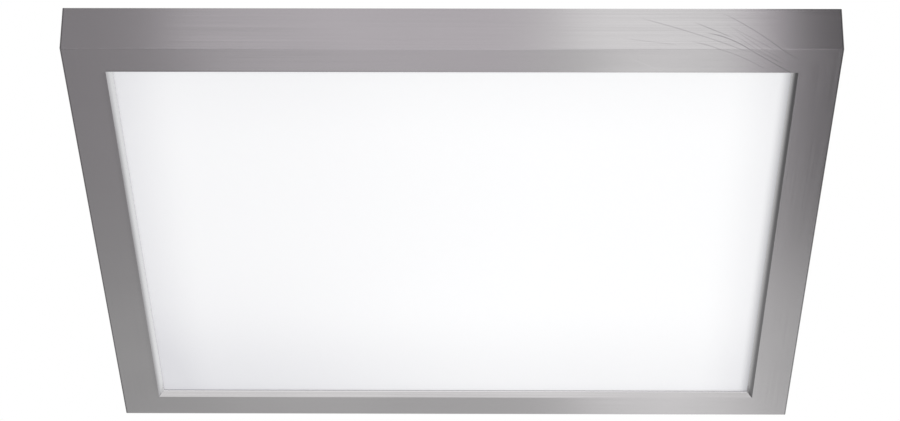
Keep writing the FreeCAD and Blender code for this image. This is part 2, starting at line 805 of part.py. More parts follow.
def back_cover():
    """A flat sheet with two raised beads, windows for the LED sockets and notches round the nut cages."""
    edge = f"({WALL} - cover_gap)"
    body = square_sheet("back_cover", edge, COVER_LOW, "cover_sheet")
    ridge = new_sketch(body, level="cover_sheet")
    groove = new_sketch(body)
    length = f"2 * ({WALL} - cover_bead_margin)"
    for index in (0, 1):
        up = f"{index} * cover_bead_pitch + cover_bead_inset - {WALL}"
        bead_outline(ridge, "0", up, length, "bead_width")
        bead_outline(groove, "0", up, f"{length} - 2 * cover_sheet", "bead_width - 2 * cover_sheet")
    pad(body, ridge, "bead_depth")
    pocket(body, groove, "bead_depth", back=True)
    cut_fixings(body, "screw_radius + screw_fit", "cover_sheet")
    edge_holes = new_sketch(body, level="cover_sheet")
    for side in "-+":
        hole(edge_holes, SCREW_LINE, f"{side}{BRACKET_LINE}", "screw_radius + screw_fit")
    cut = pocket(body, edge_holes)
    ring = body.newObject("PartDesign::PolarPattern", "cover_screw_holes")
    ring.Originals = [cut]
    ring.Axis = (edge_holes, ["N_Axis"])
    ring.Angle = 360
    ring.Occurrences = 4
    body.Tip = ring
    document.recompute()
    windows = new_sketch(body, level="cover_sheet")
    for side in "-+":
        rectangle(
            windows,
            f"{side}{SOCKET_MIDDLE} - socket_width / 2 - socket_play",
            f"{side}{SOCKET_MIDDLE} + socket_width / 2 + socket_play",
            f"{SOCKET_START} - socket_play",
            f"{SOCKET_START} + socket_length + socket_play",
        )
        rectangle(
            windows,
            f"{side}{THUMB_X} - nut_width",
            f"{side}{THUMB_X} + nut_width",
            f"{WALL} - cage_depth - cover_gap",
            f"{edge} + cover_gap",
        )
    pocket(body, windows)
    return node(body)


node(square_sheet("diffuser", PANEL, LEDGE_TOP, "diffuser_thickness"))
node(square_sheet("light_guide_plate", PANEL, GUIDE_LOW, "guide_thickness"))
node(square_sheet("reflector_sheet", PANEL, REFLECTOR_LOW, "reflector_thickness"))
foam_pad()
back_cover()

# LED boards: one at the left edge of the light guide and one at the right, each on an aluminium rail that
# stands on the ledge. Plastic spacers close the near and far edges. All are drawn for the right side.
LED_FACE = f"({PANEL} + led_gap)"
BOARD_FACE = f"({LED_FACE} + led_thickness)"
RAIL_FACE = f"({BOARD_FACE} + board_thickness)"
BOARD_END = f"({PANEL} + board_run_out)"
LED_COUNT = f"floor(2 * {PANEL} / led_pitch)"


def angle_strip(name, turn, face, web, flange, reach, half_length):
    """A strip with a web that stands on the ledge and a flange under the back cover."""
    body = new_body(name, turn=turn)
    section = new_sketch(body, "XZ_Plane")
    outline(
        section,
        (face, LEDGE_TOP),
        (f"{face} + {web}", LEDGE_TOP),
        (f"{face} + {web}", f"{COVER_LOW} - {flange}"),
        (f"{face} + {web} + {reach}", f"{COVER_LOW} - {flange}"),
        (f"{face} + {web} + {reach}", COVER_LOW),
        (face, COVER_LOW),
    )
    pad(body, section, f"2 * {half_length}", both=True)
    return node(body)


def led_board(name, turn):
    body = new_body(name, turn=turn)
    section = new_sketch(body, "XZ_Plane")
    low = f"({LEDGE_TOP} + board_rise)"
    rectangle(section, BOARD_FACE, RAIL_FACE, low, f"{low} + board_height")
    pad(body, section, f"2 * {BOARD_END}", both=True)
    return node(body)


def led_row(name, turn):
    body = new_body(name, turn=turn)
    first = new_sketch(body, "YZ_Plane", LED_FACE)
    start = f"(-led_pitch * ({LED_COUNT} - 1) / 2)"
    middle = f"({GUIDE_LOW} + guide_thickness / 2)"
    rectangle(
        first,
        f"{start} - led_length / 2",
        f"{start} + led_length / 2",
        f"{middle} - led_height / 2",
        f"{middle} + led_height / 2",
    )
    led = pad(body, first, "led_thickness")
    row = body.newObject("PartDesign::LinearPattern", f"{name}_row")
    row.Originals = [led]
    row.Direction = (first, ["H_Axis"])
    row.setExpression("Length", bound(f"led_pitch * ({LED_COUNT} - 1)"))
    row.setExpression("Occurrences", bound(LED_COUNT))
    body.Tip = row
    return node(body)


def led_sockets():
    """A socket at the far end of each board, standing up through its window in the back cover."""
    socket = block(
        "led_socket",
        ("-socket_width / 2", "0", "0"),
        ("socket_width", "socket_length", f"{COVER_TOP} + socket_stand - {LEDGE_TOP} - board_rise"),
    )
    base = f"{LEDGE_TOP} + board_rise"
    places = [(f"{side}{SOCKET_MIDDLE} - socket_width / 2", SOCKET_START, base, 0) for side in "-+"]
    return copies("led_sockets", socket, places)


for side, turn in (("left", 180), ("right", 0)):
    led_board(f"{side}_led_board", turn)
    led_row(f"{side}_leds", turn)
    angle_strip(f"{side}_led_rail", turn, RAIL_FACE, "rail_web", "rail_flange", "rail_reach", BOARD_END)
SPACER_FACE = f"({PANEL} + spacer_gap)"
for side, turn in (("near", 270), ("far", 90)):
    angle_strip(
        f"{side}_edge_spacer", turn, SPACER_FACE, "spacer_web", "rail_flange", "rail_reach",
        f"({PANEL} - spacer_end_gap)",
    )
led_sockets()

# Cover brackets and screws: eight folded brackets spot-welded to the frame walls, and a screw down through
# the back cover into each.


def cover_brackets():
    """The bracket is drawn about its screw, for the right wall."""
    bracket = new_body("cover_bracket")
    section = new_sketch(bracket, "XZ_Plane")
    wall = "cover_screw_inset"
    outline(
        section,
        (wall, "-bracket_leg"),
        (wall, "0"),
        (f"{wall} - bracket_tab", "0"),
        (f"{wall} - bracket_tab", "-bracket_sheet"),
        (f"{wall} - bracket_sheet", "-bracket_sheet"),
        (f"{wall} - bracket_sheet", "-bracket_leg"),
    )
    pad(bracket, section, "bracket_width", both=True)
    screw_hole = new_sketch(bracket)
    hole(screw_hole, "0", "0", "screw_radius + screw_fit")
    pocket(bracket, screw_hole)
    places = [(x, y, COVER_LOW, turn) for x, y, turn in cover_screw_places()]
    return copies("cover_brackets", bracket, places)


def cover_screws():
    piece = screw(
        "cover_screw", "screw_radius", "cover_sheet + bracket_sheet + cover_screw_tip", "screw_head_radius",
        "screw_head_height",
    )
    return copies("cover_screws", piece, [(x, y, COVER_TOP, 0) for x, y, turn in cover_screw_places()])


cover_brackets()
cover_screws()

# Driver: a folded base with standoffs and screw ears, a moulded case over it, and the circuit board with
# its transformer, capacitors and lead headers inside. The pieces are drawn about the middle of its foot.
DRIVER_HALF = "(driver_width / 2)"
DRIVER_BOARD_LOW = "(driver_base_sheet + standoff_height)"
DRIVER_BOARD_TOP = f"({DRIVER_BOARD_LOW} + driver_board_thickness)"
DRIVER_INSIDE = f"({DRIVER_END} - driver_wall - driver_board_margin)"
GROMMET_SIDES = 10


def driver_body(name):
    return new_body(name, y="driver_middle", z=COVER_TOP)


def driver_base():
    body = driver_body("driver_base")
    plate = new_sketch(body)
    rectangle(plate, f"-{DRIVER_END} - driver_ear", f"{DRIVER_END} + driver_ear", f"-{DRIVER_HALF}", DRIVER_HALF)
    pad(body, plate, "driver_base_sheet")
    posts = new_sketch(body, level="driver_base_sheet")
    holes = new_sketch(body, level="driver_base_sheet")
    for side in "-+":
        for end in "-+":
            across = f"{side}({DRIVER_INSIDE} - 2 * standoff_radius)"
            along = f"{end}({DRIVER_HALF} - driver_wall - 3 * standoff_radius)"
            polygon(posts, across, along, "standoff_radius")
            across = f"{side}({DRIVER_END} + driver_ear / 2)"
            hole(holes, across, f"{end}driver_screw_spacing / 2", "screw_radius + screw_fit")
    pad(body, posts, "standoff_height")
    pocket(body, holes)
    return node(body)


def driver_case():
    body = driver_body("driver_case")
    shell = new_sketch(body, level="driver_base_sheet")
    rectangle(shell, f"-{DRIVER_END}", DRIVER_END, f"-{DRIVER_HALF}", DRIVER_HALF)
    pad(body, shell, "driver_height - driver_base_sheet")
    fillet(body, "driver_corner", lambda edge: edge.BoundBox.ZLength > number("driver_height") / 2)
    hollow = new_sketch(body, level="driver_base_sheet")
    rectangle(
        hollow,
        f"-{DRIVER_END} + driver_wall",
        f"{DRIVER_END} - driver_wall",
        f"-{DRIVER_HALF} + driver_wall",
        f"{DRIVER_HALF} - driver_wall",
    )
    pocket(body, hollow, "driver_height - driver_base_sheet - driver_wall", back=True)
    holes = new_sketch(body, "YZ_Plane")
    hole(holes, "0", "lead_height", "grommet_radius", GROMMET_SIDES)
    pocket(body, holes, both=True)
    return node(body)


def driver_board():
    body = driver_body("driver_board")
    plate = new_sketch(body, level=DRIVER_BOARD_LOW)
    edge = f"({DRIVER_HALF} - driver_wall - driver_board_margin)"
    rectangle(plate, f"-{DRIVER_INSIDE}", DRIVER_INSIDE, f"-{edge}", edge)
    pad(body, plate, "driver_board_thickness")
    return node(body)


def driver_components():
    """Lead headers at both ends, a filter choke, two capacitors and the transformer."""
    room = f"(driver_height - driver_wall - {DRIVER_BOARD_TOP} - component_gap)"
    body = driver_body("driver_components")

    def around(sketch, middle, length, width):
        rectangle(sketch, f"{middle} - {length} / 2", f"{middle} + {length} / 2", f"-{width} / 2", f"{width} / 2")

    headers = new_sketch(body, level=DRIVER_BOARD_TOP)
    for side in "-+":
        around(headers, f"{side}({DRIVER_INSIDE} - header_length / 2)", "header_length", "header_width")
    pad(body, headers, "header_height")
    wound = new_sketch(body, level=DRIVER_BOARD_TOP)
    around(wound, "transformer_middle", "transformer_side", "transformer_side")
    around(wound, "choke_middle", "choke_length", "choke_width")
    pad(body, wound, room)
    core = new_sketch(body, level=DRIVER_BOARD_TOP)
    around(core, "transformer_middle", "core_length", "core_width")
    pad(body, core, f"{room} - core_drop")
    cans = new_sketch(body, level=DRIVER_BOARD_TOP)
    polygon(cans, "input_can_middle", "0", "input_can_radius", 12)
    for side in "-+":
        place = f"output_can_middle {side} output_can_step"
        polygon(cans, place, f"{side}output_can_step", "output_can_radius", 12)
    pad(body, cans, room)
    return node(body)


def driver_grommets():
    """A grommet for two leads in each end wall."""
    grommet = new_body("driver_grommet")
    lip = "grommet_radius + grommet_lip"
    outer = new_sketch(grommet, "YZ_Plane")
    polygon(outer, "0", "0", lip, GROMMET_SIDES)
    pad(grommet, outer, "grommet_lip", back=True)
    neck = new_sketch(grommet, "YZ_Plane")
    polygon(neck, "0", "0", "grommet_radius - screw_fit", GROMMET_SIDES)
    pad(grommet, neck, "driver_wall")
    inner = new_sketch(grommet, "YZ_Plane", "driver_wall")
    polygon(inner, "0", "0", lip, GROMMET_SIDES)
    pad(grommet, inner, "grommet_lip")
    bores = new_sketch(grommet, "YZ_Plane")
    for side in "-+":
        hole(bores, f"{side}lead_spacing / 2", "0", "lead_radius + lead_fit")
    pocket(grommet, bores, both=True)
    height = f"{COVER_TOP} + lead_height"
    places = [
        (f"-{DRIVER_END}", "driver_middle", height, 0),
        (f"{DRIVER_END} - driver_wall", "driver_middle", height, 0),
    ]
    return copies("driver_grommets", grommet, places)


def driver_screws():
    piece = screw(
        "driver_screw", "screw_radius", "driver_base_sheet + cover_sheet + screw_tip", "screw_head_radius",
        "screw_head_height",
    )
    height = f"{COVER_TOP} + driver_base_sheet"
    places = [
        (f"{side}({DRIVER_END} + driver_ear / 2)", f"driver_middle {end} driver_screw_spacing / 2", height, 0)
        for side in "-+"
        for end in "-+"
    ]
    return copies("driver_screws", piece, places)


driver_base()
driver_case()
driver_board()
driver_components()
driver_grommets()
driver_screws()

# Terminal block: a moulded three-pole block beside the driver, with a brass clamp in each pole, two clamp
# screws to a pole and two fixing screws between the poles. The building's cable comes in from the left.
POLES = (-1, 0, 1)
BARREL_RADIUS = "(lead_radius + lead_fit + barrel_wall)"
BARREL_RISE = f"({BARREL_RADIUS} + ring_thickness / 2)"


def terminal_body(name):
    return new_body(name, TERMINAL_X, "driver_middle", COVER_TOP)


def pole_places(level):
    """The clamp screws' places, two to a pole."""
    return [
        (f"{TERMINAL_X} {side} clamp_screw_spacing / 2", f"driver_middle + {pole} * terminal_pitch", level, 0)
        for pole in POLES
        for side in "-+"
    ]


def terminal_block():
    body = terminal_body("terminal_block")
    foot = new_sketch(body)
    half_length = "terminal_length / 2"
    half_width = "terminal_width / 2"
    rectangle(foot, f"-{half_length}", half_length, f"-{half_width}", half_width)
    pad(body, foot, "terminal_height")
    tunnels = new_sketch(body, "YZ_Plane")
    wells = new_sketch(body, level="terminal_height")
    room = "(clamp_width / 2 + clamp_fit)"
    for pole in POLES:
        middle = f"{pole} * terminal_pitch"
        rectangle(
            tunnels,
            f"{middle} - {room}",
            f"{middle} + {room}",
            f"terminal_axis_height - {room}",
            f"terminal_axis_height + {room}",
        )
        for side in "-+":
            hole(wells, f"{side}clamp_screw_spacing / 2", middle, "well_radius")
    pocket(body, tunnels, both=True)
    pocket(body, wells, f"terminal_height - terminal_axis_height - {room}")
    seats = new_sketch(body, level="terminal_height")
    fixings = new_sketch(body, level="terminal_height")
    for side in "-+":
        hole(seats, "0", f"{side}terminal_pitch / 2", "clamp_screw_head")
        hole(fixings, "0", f"{side}terminal_pitch / 2", "clamp_screw_radius + screw_fit")
    pocket(body, seats, "terminal_height / 2")
    pocket(body, fixings)
    return node(body)


def terminal_clamps():
    """A square brass bar in each pole, bored for the wires and tapped for its two screws."""
    clamp = new_body("terminal_clamp")
    section = new_sketch(clamp, "YZ_Plane")
    rectangle(section, "-clamp_width / 2", "clamp_width / 2", "-clamp_width / 2", "clamp_width / 2")
    pad(clamp, section, "clamp_length", both=True)
    bore = new_sketch(clamp, "YZ_Plane")
    hole(bore, "0", "0", "lead_radius + clamp_fit")
    pocket(clamp, bore, both=True)
    taps = new_sketch(clamp, level="clamp_width / 2")
    for side in "-+":
        hole(taps, f"{side}clamp_screw_spacing / 2", "0", "clamp_screw_radius + thread_fit")
    pocket(clamp, taps, "clamp_width / 2")
    height = f"{COVER_TOP} + terminal_axis_height"
    places = [(TERMINAL_X, f"driver_middle + {pole} * terminal_pitch", height, 0) for pole in POLES]
    return copies("terminal_clamps", clamp, places)


def terminal_screws():
    """The clamp screws, with their heads down in the wells and their tips just above the wire."""
    piece = screw(
        "terminal_screw", "clamp_screw_radius", "clamp_width / 2 - lead_radius", "clamp_screw_head",
        "clamp_screw_radius", sides=8,
    )
    level = f"{COVER_TOP} + terminal_axis_height + clamp_width / 2 + clamp_fit"
    return copies("terminal_screws", piece, pole_places(level))


def terminal_fixing_screws():
    piece = screw(
        "terminal_fixing_screw", "clamp_screw_radius", "terminal_height / 2 + cover_sheet + screw_tip",
        "clamp_screw_head - screw_fit", "clamp_screw_radius", sides=8,
    )
    level = f"{COVER_TOP} + terminal_height / 2"
    places = [(TERMINAL_X, f"driver_middle {side} terminal_pitch / 2", level, 0) for side in "-+"]
    return copies("terminal_fixing_screws", piece, places)


def ring_terminal():
    """A crimped ring: a flat eye under the ground screw and a barrel round the end of the earth lead."""
    body = new_body("ring_terminal", GROUND_X, GROUND_Y, COVER_TOP)
    eye = new_sketch(body)
    polygon(eye, "0", "0", "ring_radius", 16)
    pad(body, eye, "ring_thickness")
    barrel = new_sketch(body, "XZ_Plane", "-ring_radius + ring_thickness")
    polygon(barrel, "0", BARREL_RISE, BARREL_RADIUS, 12)
    pad(body, barrel, "barrel_length", back=True)
    bore = new_sketch(body, "XZ_Plane", "-ring_radius")
    hole(bore, "0", BARREL_RISE, "lead_radius + lead_fit", 12)
    pocket(body, bore)
    screw_hole = new_sketch(body, level="ring_thickness")
    hole(screw_hole, "0", "0", "screw_radius + screw_fit")
    pocket(body, screw_hole, both=True)
    return node(body)


def ground_screw():
    piece = screw(
        "light_ground_screw", "screw_radius", "ring_thickness + cover_sheet + screw_tip", "screw_head_radius",
        "screw_head_height", sides=6,
    )
    return copies("ground_screw", piece, [(GROUND_X, GROUND_Y, f"{COVER_TOP} + ring_thickness", 0)])


terminal_block()
terminal_clamps()
terminal_screws()
terminal_fixing_screws()
ring_terminal()
ground_screw()

# Leads: each is one tube along its route on the back cover. A route is straight runs joined by arcs that
# touch both runs, as wide as the shorter run allows.
ARC_SHARE = 0.45
LEAD_SIDES = 6


def lead_path(points):
    """The wire through the points, and the radius of its arc at each inner point."""
    edges = []
    radii = []
    start = points[0]
    for before, corner, after in zip(points, points[1:], points[2:]):
        incoming = (corner - before).normalize()
        outgoing = (after - corner).normalize()
        half_turn = incoming.getAngle(outgoing) / 2
        reach = ARC_SHARE * min((corner - before).Length, (after - corner).Length)
        radius = reach / math.tan(half_turn)
        inward = (outgoing - incoming).normalize()
        middle = corner + inward * (radius / math.cos(half_turn) - radius)
        arc = Part.Arc(corner - incoming * reach, middle, corner + outgoing * reach)
        edges += [Part.LineSegment(start, arc.StartPoint).toShape(), arc.toShape()]
        start = arc.EndPoint
        radii.append(radius)
    edges.append(Part.LineSegment(start, points[-1]).toShape())
    return Part.Wire(edges), radii


def lead(name, *route):
    points = [Vector(number(x), number(y), number(z)) for x, y, z in route]
    wire, radii = lead_path(points)
    radius = number("lead_radius")
    circle = Part.Circle(points[0], points[1] - points[0], radius)
    section = Part.makePolygon(circle.discretize(LEAD_SIDES + 1))
    piece = document.addObject("Part::Feature", name)
    piece.Shape = wire.makePipeShell([section], True, False)
    ideal = Part.Face(section).Area * wire.Length
    print(f"{name}: length {wire.Length:.0f}, least radius {min(radii):.1f}, "
          f"volume over section times length {piece.Shape.Volume / ideal:.4f}")
    return node(piece)


POLE_X = f"({TERMINAL_X} + clamp_length / 4)"
POLE_Z = f"({COVER_TOP} + terminal_axis_height)"
DRIVER_Z = f"({COVER_TOP} + lead_height)"
REST_Z = f"({COVER_TOP} + lead_clearance + lead_radius)"
NEAR_LEAD = "(driver_middle - lead_spacing / 2)"
FAR_LEAD = "(driver_middle + lead_spacing / 2)"
BLOCK_X = f"({TERMINAL_X} + terminal_length / 2)"

lead(
    "live_lead",
    (POLE_X, "driver_middle + terminal_pitch", POLE_Z),
    (f"{BLOCK_X} + 15", "driver_middle + terminal_pitch", POLE_Z),
    (f"-{DRIVER_END} - 25", FAR_LEAD, DRIVER_Z),
    (f"-{DRIVER_INSIDE}", FAR_LEAD, DRIVER_Z),
)
lead(
    "neutral_lead",
    (POLE_X, "driver_middle", POLE_Z),
    (f"{BLOCK_X} + 18", "driver_middle", POLE_Z),
    (f"-{DRIVER_END} - 22", NEAR_LEAD, DRIVER_Z),
    (f"-{DRIVER_INSIDE}", NEAR_LEAD, DRIVER_Z),
)
BARREL_Z = f"({COVER_TOP} + {BARREL_RISE})"
lead(
    "earth_lead",
    (POLE_X, "driver_middle - terminal_pitch", POLE_Z),
    (f"{BLOCK_X} + 14", "driver_middle - terminal_pitch", POLE_Z),
    (GROUND_X, "driver_middle - terminal_pitch - 12", BARREL_Z),
    (GROUND_X, f"{GROUND_Y} + ring_radius", BARREL_Z),
)
lead(
    "right_dc_lead",
    (DRIVER_INSIDE, NEAR_LEAD, DRIVER_Z),
    (f"{DRIVER_END} + 22", NEAR_LEAD, DRIVER_Z),
    (f"{DRIVER_END} + 50", "driver_middle + 6", REST_Z),
    (f"{DRIVER_END} + 92", "driver_middle + 33", REST_Z),
    (f"{SOCKET_MIDDLE} - 36", "driver_middle + 72", REST_Z),
    (f"{SOCKET_MIDDLE} - 6", "driver_middle + 118", REST_Z),
    (SOCKET_MIDDLE, f"{SOCKET_START} - 37", REST_Z),
    (SOCKET_MIDDLE, SOCKET_START, REST_Z),
)
lead(
    "left_dc_lead",
    (DRIVER_INSIDE, FAR_LEAD, DRIVER_Z),
    (f"{DRIVER_END} + 18", FAR_LEAD, DRIVER_Z),
    (f"{DRIVER_END} + 38", "driver_middle + 17", f"{REST_Z} + 3"),
    (f"{DRIVER_END} + 30", "driver_middle + rear_run - 19", REST_Z),
    (f"{DRIVER_END} - 20", "driver_middle + rear_run", REST_Z),
    (f"{GROUND_X} - 30", "driver_middle + rear_run", REST_Z),
    (f"-{SOCKET_MIDDLE} + 14", "driver_middle + 100", REST_Z),
    (f"-{SOCKET_MIDDLE}", f"{SOCKET_START} - 42", REST_Z),
    (f"-{SOCKET_MIDDLE}", SOCKET_START, REST_Z),
)


def lead_clips():
    """Adhesive clips with an open mouth, drawn for a lead that runs along Y."""
    clip = new_body("lead_clip")
    section = new_sketch(clip, "XZ_Plane")
    rectangle(section, "-clip_width / 2", "clip_width / 2", "0", "clip_height")
    pad(clip, section, "clip_length", both=True)
    bore = new_sketch(clip, "XZ_Plane")
    hole(bore, "0", "lead_clearance + lead_radius", "lead_radius + clip_gap", 8)
    pocket(clip, bore, both=True)
    mouth = new_sketch(clip, "XZ_Plane")
    rectangle(mouth, "-clip_mouth / 2", "clip_mouth / 2", "lead_clearance + lead_radius", "clip_height + clip_gap")
    pocket(clip, mouth, both=True)
    places = [
        (f"{GROUND_X} + clip_inset + {index} * clip_spacing", "driver_middle + rear_run", COVER_TOP, 90)
        for index in range(3)
    ]
    places += [(f"{side}{SOCKET_MIDDLE}", f"{SOCKET_START} - clip_to_socket", COVER_TOP, 0) for side in "-+"]
    return copies("lead_clips", clip, places)


lead_clips()

document.recompute()
faults = [thing.Name for thing in document.Objects if {"Invalid", "Error"} & set(thing.State)]
faults += [piece.Name for piece in NODES if piece.Shape.isNull() or not piece.Shape.isValid()]
if faults:
    raise RuntimeError("these objects failed: " + ", ".join(faults))

os.makedirs("parts", exist_ok=True)
for piece in NODES:
    piece.Shape.exportStep(f"parts/{piece.Label}.step")
print(len(NODES), "sub-parts written")
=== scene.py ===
import math

import bmesh
import bpy
from mathutils import Matrix, Vector


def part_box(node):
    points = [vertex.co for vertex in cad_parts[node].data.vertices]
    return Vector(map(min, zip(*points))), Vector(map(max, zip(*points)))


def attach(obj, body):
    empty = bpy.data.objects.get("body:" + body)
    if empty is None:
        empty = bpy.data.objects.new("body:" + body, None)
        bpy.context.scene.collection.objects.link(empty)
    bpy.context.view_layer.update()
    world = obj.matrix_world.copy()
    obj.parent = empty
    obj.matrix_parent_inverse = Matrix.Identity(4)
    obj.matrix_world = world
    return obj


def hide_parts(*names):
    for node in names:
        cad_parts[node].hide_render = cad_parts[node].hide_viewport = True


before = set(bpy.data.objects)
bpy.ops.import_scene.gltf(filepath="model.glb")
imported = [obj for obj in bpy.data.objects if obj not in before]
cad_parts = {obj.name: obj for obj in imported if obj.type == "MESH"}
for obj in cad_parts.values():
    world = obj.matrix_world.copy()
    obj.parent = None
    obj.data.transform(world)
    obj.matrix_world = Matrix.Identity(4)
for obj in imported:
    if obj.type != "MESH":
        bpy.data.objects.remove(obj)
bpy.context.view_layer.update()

# Ceiling pan. A tray folded from steel sheet and coated with white enamel, screwed to the ceiling. Its beads
# and bosses are pressed, and its far flange is notched for the thumbscrews.
MM = 0.001


def feed(socket, value):
    """Links a wire to a socket, or sets its number or colour."""
    if isinstance(value, Wire):
        value.tree.links.new(value.socket, socket)
    else:
        socket.default_value = value


class Wire:
    """A socket of a material. Arithmetic on wires adds Math nodes."""

    def __init__(self, tree, socket=None):
        self.tree = tree
        self.socket = socket

    def node(self, kind, settings=None, inputs=None, output=0):
        """Adds a node: first its settings, then the values or wires of its sockets."""
        made = self.tree.nodes.new("ShaderNode" + kind)
        for name, setting in (settings or {}).items():
            setattr(made, name, setting)
        for name, value in (inputs or {}).items():
            feed(made.inputs[name], value)
        return Wire(self.tree, made.outputs[output])

    def maths(self, operation, *values):
        return self.node("Math", {"operation": operation}, dict(enumerate([self, *values])))

    def __add__(self, other):
        return self.maths("ADD", other)

    def __sub__(self, other):
        return self.maths("SUBTRACT", other)

    def __rsub__(self, other):
        return self * -1 + other

    def __mul__(self, other):
        return self.maths("MULTIPLY", other)

    def __pow__(self, other):
        return self.maths("POWER", other)

    def __abs__(self):
        return self.maths("ABSOLUTE")

    __radd__ = __add__
    __rmul__ = __mul__

    def larger(self, other):
        return self.maths("MAXIMUM", other)

    def above(self, low, high):
        """0 below low, 1 above high and a smooth step between them."""
        settings = {"interpolation_type": "SMOOTHSTEP"}
        return self.node("MapRange", settings, {0: self, 1: low, 2: high})

    def below(self, low, high):
        """1 below low, 0 above high and a smooth step between them."""
        return 1 - self.above(low, high)

    def within(self, start, full, fading, end):
        """0 up to start, 1 from full to fading and 0 again from end on."""
        return self.above(start, full) * self.below(fading, end)

    def apart(self):
        """The three parts of a vector."""
        made = self.node("SeparateXYZ", None, {0: self})
        return [Wire(self.tree, output) for output in made.socket.node.outputs]

    def stretched(self, across, along, up):
        return self.node("VectorMath", {"operation": "MULTIPLY"}, {0: self, 1: (across, along, up)})

    def noise(self, scale, detail=2, roughness=0.5):
        """Noise of about that many waves to the metre."""
        inputs = {"Vector": self, "Scale": scale, "Detail": detail, "Roughness": roughness}
        return self.node("TexNoise", None, inputs)

    def cells(self, scale, feature="F1", output=0):
        """Cells, about that many to the metre."""
        return self.node("TexVoronoi", {"feature": feature}, {"Vector": self, "Scale": scale}, output)

    def colour(self, first, second):
        """From the first colour at 0 to the second at 1."""
        return self.node("Mix", {"data_type": "RGBA"}, {0: self, 6: first, 7: second}, 2)

    def bump(self, height, strength):
        """The surface raised by this wire times a height in metres."""
        return self.node("Bump", None, {"Strength": strength, "Distance": height, "Height": self})


def finish(name, **settings):
    """A material, the place on its piece, and a function that fills the shader's sockets."""
    material = bpy.data.materials.new(name)
    material.use_nodes = True
    shader = material.node_tree.nodes["Principled BSDF"]
    place = Wire(material.node_tree).node("TexCoord", output="Object")

    def fill(**sockets):
        for socket_name, value in sockets.items():
            feed(shader.inputs[socket_name.replace("_", " ")], value)

    fill(**settings)
    return material, place, fill


def wear(material, *names):
    """Puts a material on CAD nodes or on pieces."""
    for name in names:
        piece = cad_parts[name] if isinstance(name, str) else name
        if piece.material_slots:
            for material_slot in piece.material_slots:
                material_slot.material = material
        else:
            piece.data.materials.append(material)


white_enamel, place, fill = finish("white_enamel", Coat_Weight=0.25)
mottle = place.noise(9, 3)
dust = place.noise(28, 4).above(0.55, 0.8)
orange_peel = place.noise(420, 1)
fill(
    Base_Color=(mottle * 0.3 + dust * 0.35).colour((0.78, 0.78, 0.765, 1), (0.62, 0.615, 0.6, 1)),
    Roughness=mottle * 0.12 + dust * 0.2 + 0.3,
    Normal=orange_peel.bump(0.05 * MM, 0.35),
)
wear(white_enamel, "ceiling_pan")

# Cable bushing. Soft black rubber, moulded in one piece and pressed into the hole of the middle boss, so that
# the sheet's edge can't cut the cable.
BUSHING_LOW, BUSHING_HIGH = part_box("cable_bushing")
BUSHING_BORE = 7 * MM
BUSHING_NECK = 10.9 * MM
BOSS_TOP, BOSS_LOW = -3 * MM, -4 * MM
TURN = 2 * math.pi


def turned(profile, sides=48, closed=False, ripple=None):
    """The profile of (radius, height) turned about Z. A closed profile makes a ring with a bore."""
    shape = bmesh.new()
    rings = []
    for radius, height in profile:
        if radius == 0:
            rings.append([shape.verts.new((0, 0, height))] * sides)
            continue
        ring = []
        for side in range(sides):
            angle = TURN * side / sides
            reach = ripple(angle, radius, height) if ripple else radius
            ring.append(shape.verts.new((reach * math.cos(angle), reach * math.sin(angle), height)))
        rings.append(ring)
    pairs = list(zip(rings, rings[1:])) + ([(rings[-1], rings[0])] if closed else [])
    for lower, upper in pairs:
        for side in range(sides):
            following = (side + 1) % sides
            corners = [lower[side], lower[following], upper[following], upper[side]]
            shape.faces.new(list(dict.fromkeys(corners)))
    bmesh.ops.recalc_face_normals(shape, faces=shape.faces)
    return shape


def as_mesh(shape, name):
    """Turns a shape, which is used up, into a mesh."""
    mesh = bpy.data.meshes.new(name)
    shape.to_mesh(mesh)
    shape.free()
    return mesh


def placed(name, data):
    """Puts a mesh, curve, lamp or camera into the scene as an object."""
    thing = bpy.data.objects.new(name, data)
    bpy.context.collection.objects.link(thing)
    return thing


def fit(piece, material, body, node):
    """Finishes a piece and sets it on its body, in place of a CAD node."""
    wear(material, piece)
    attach(piece, body)
    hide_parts(node)


def add(name, shape, material, body, node, smooth=35):
    """Makes a piece of a shape that is in place. Edges sharper than smooth, in degrees, stay sharp."""
    mesh = as_mesh(shape, name)
    mesh.polygons.foreach_set("use_smooth", [True] * len(mesh.polygons))
    mesh.set_sharp_from_angle(angle=math.radians(smooth))
    fit(placed(name, mesh), material, body, node)


rubber, place, fill = finish("black_rubber")
fill(
    Base_Color=place.noise(60, 3).colour((0.018, 0.018, 0.019, 1), (0.045, 0.044, 0.043, 1)),
    Roughness=place.noise(90, 2) * 0.2 + 0.5,
    Normal=place.noise(900, 1).bump(0.04 * MM, 0.4),
)
collar, top, low = BUSHING_HIGH[0], BUSHING_HIGH[2], BUSHING_LOW[2]
bushing_profile = [
    (BUSHING_BORE, low),
    (BUSHING_BORE, top),
    (BUSHING_BORE + 1 * MM, top),
    (collar - 0.8 * MM, top - 0.3 * MM),
    (collar, top - 0.9 * MM),
    (collar, BOSS_TOP),
    (BUSHING_NECK, BOSS_TOP),
    (BUSHING_NECK, BOSS_LOW),
    (collar, BOSS_LOW),
    (collar, BOSS_LOW - 0.8 * MM),
    (collar - 1.2 * MM, BOSS_LOW - 1.6 * MM),
    (BUSHING_BORE + 1.4 * MM, low + 0.2 * MM),
    (BUSHING_BORE + 0.6 * MM, low),
]
bushing = turned(bushing_profile, closed=True)
add("rubber_bushing", bushing, rubber, "pan", "cable_bushing")

# Ground screw of the pan. Steel with a green coating, a hexagonal head and a slot, driven up into its boss.
# The earth wire of the building goes under its head.
THREAD_PITCH = 0.6 * MM
THREAD_DEPTH = 0.28 * THREAD_PITCH
RINGS_PER_PITCH = 4
SHANK_SIDES = 24
PLAIN_NECK = 0.5 * MM
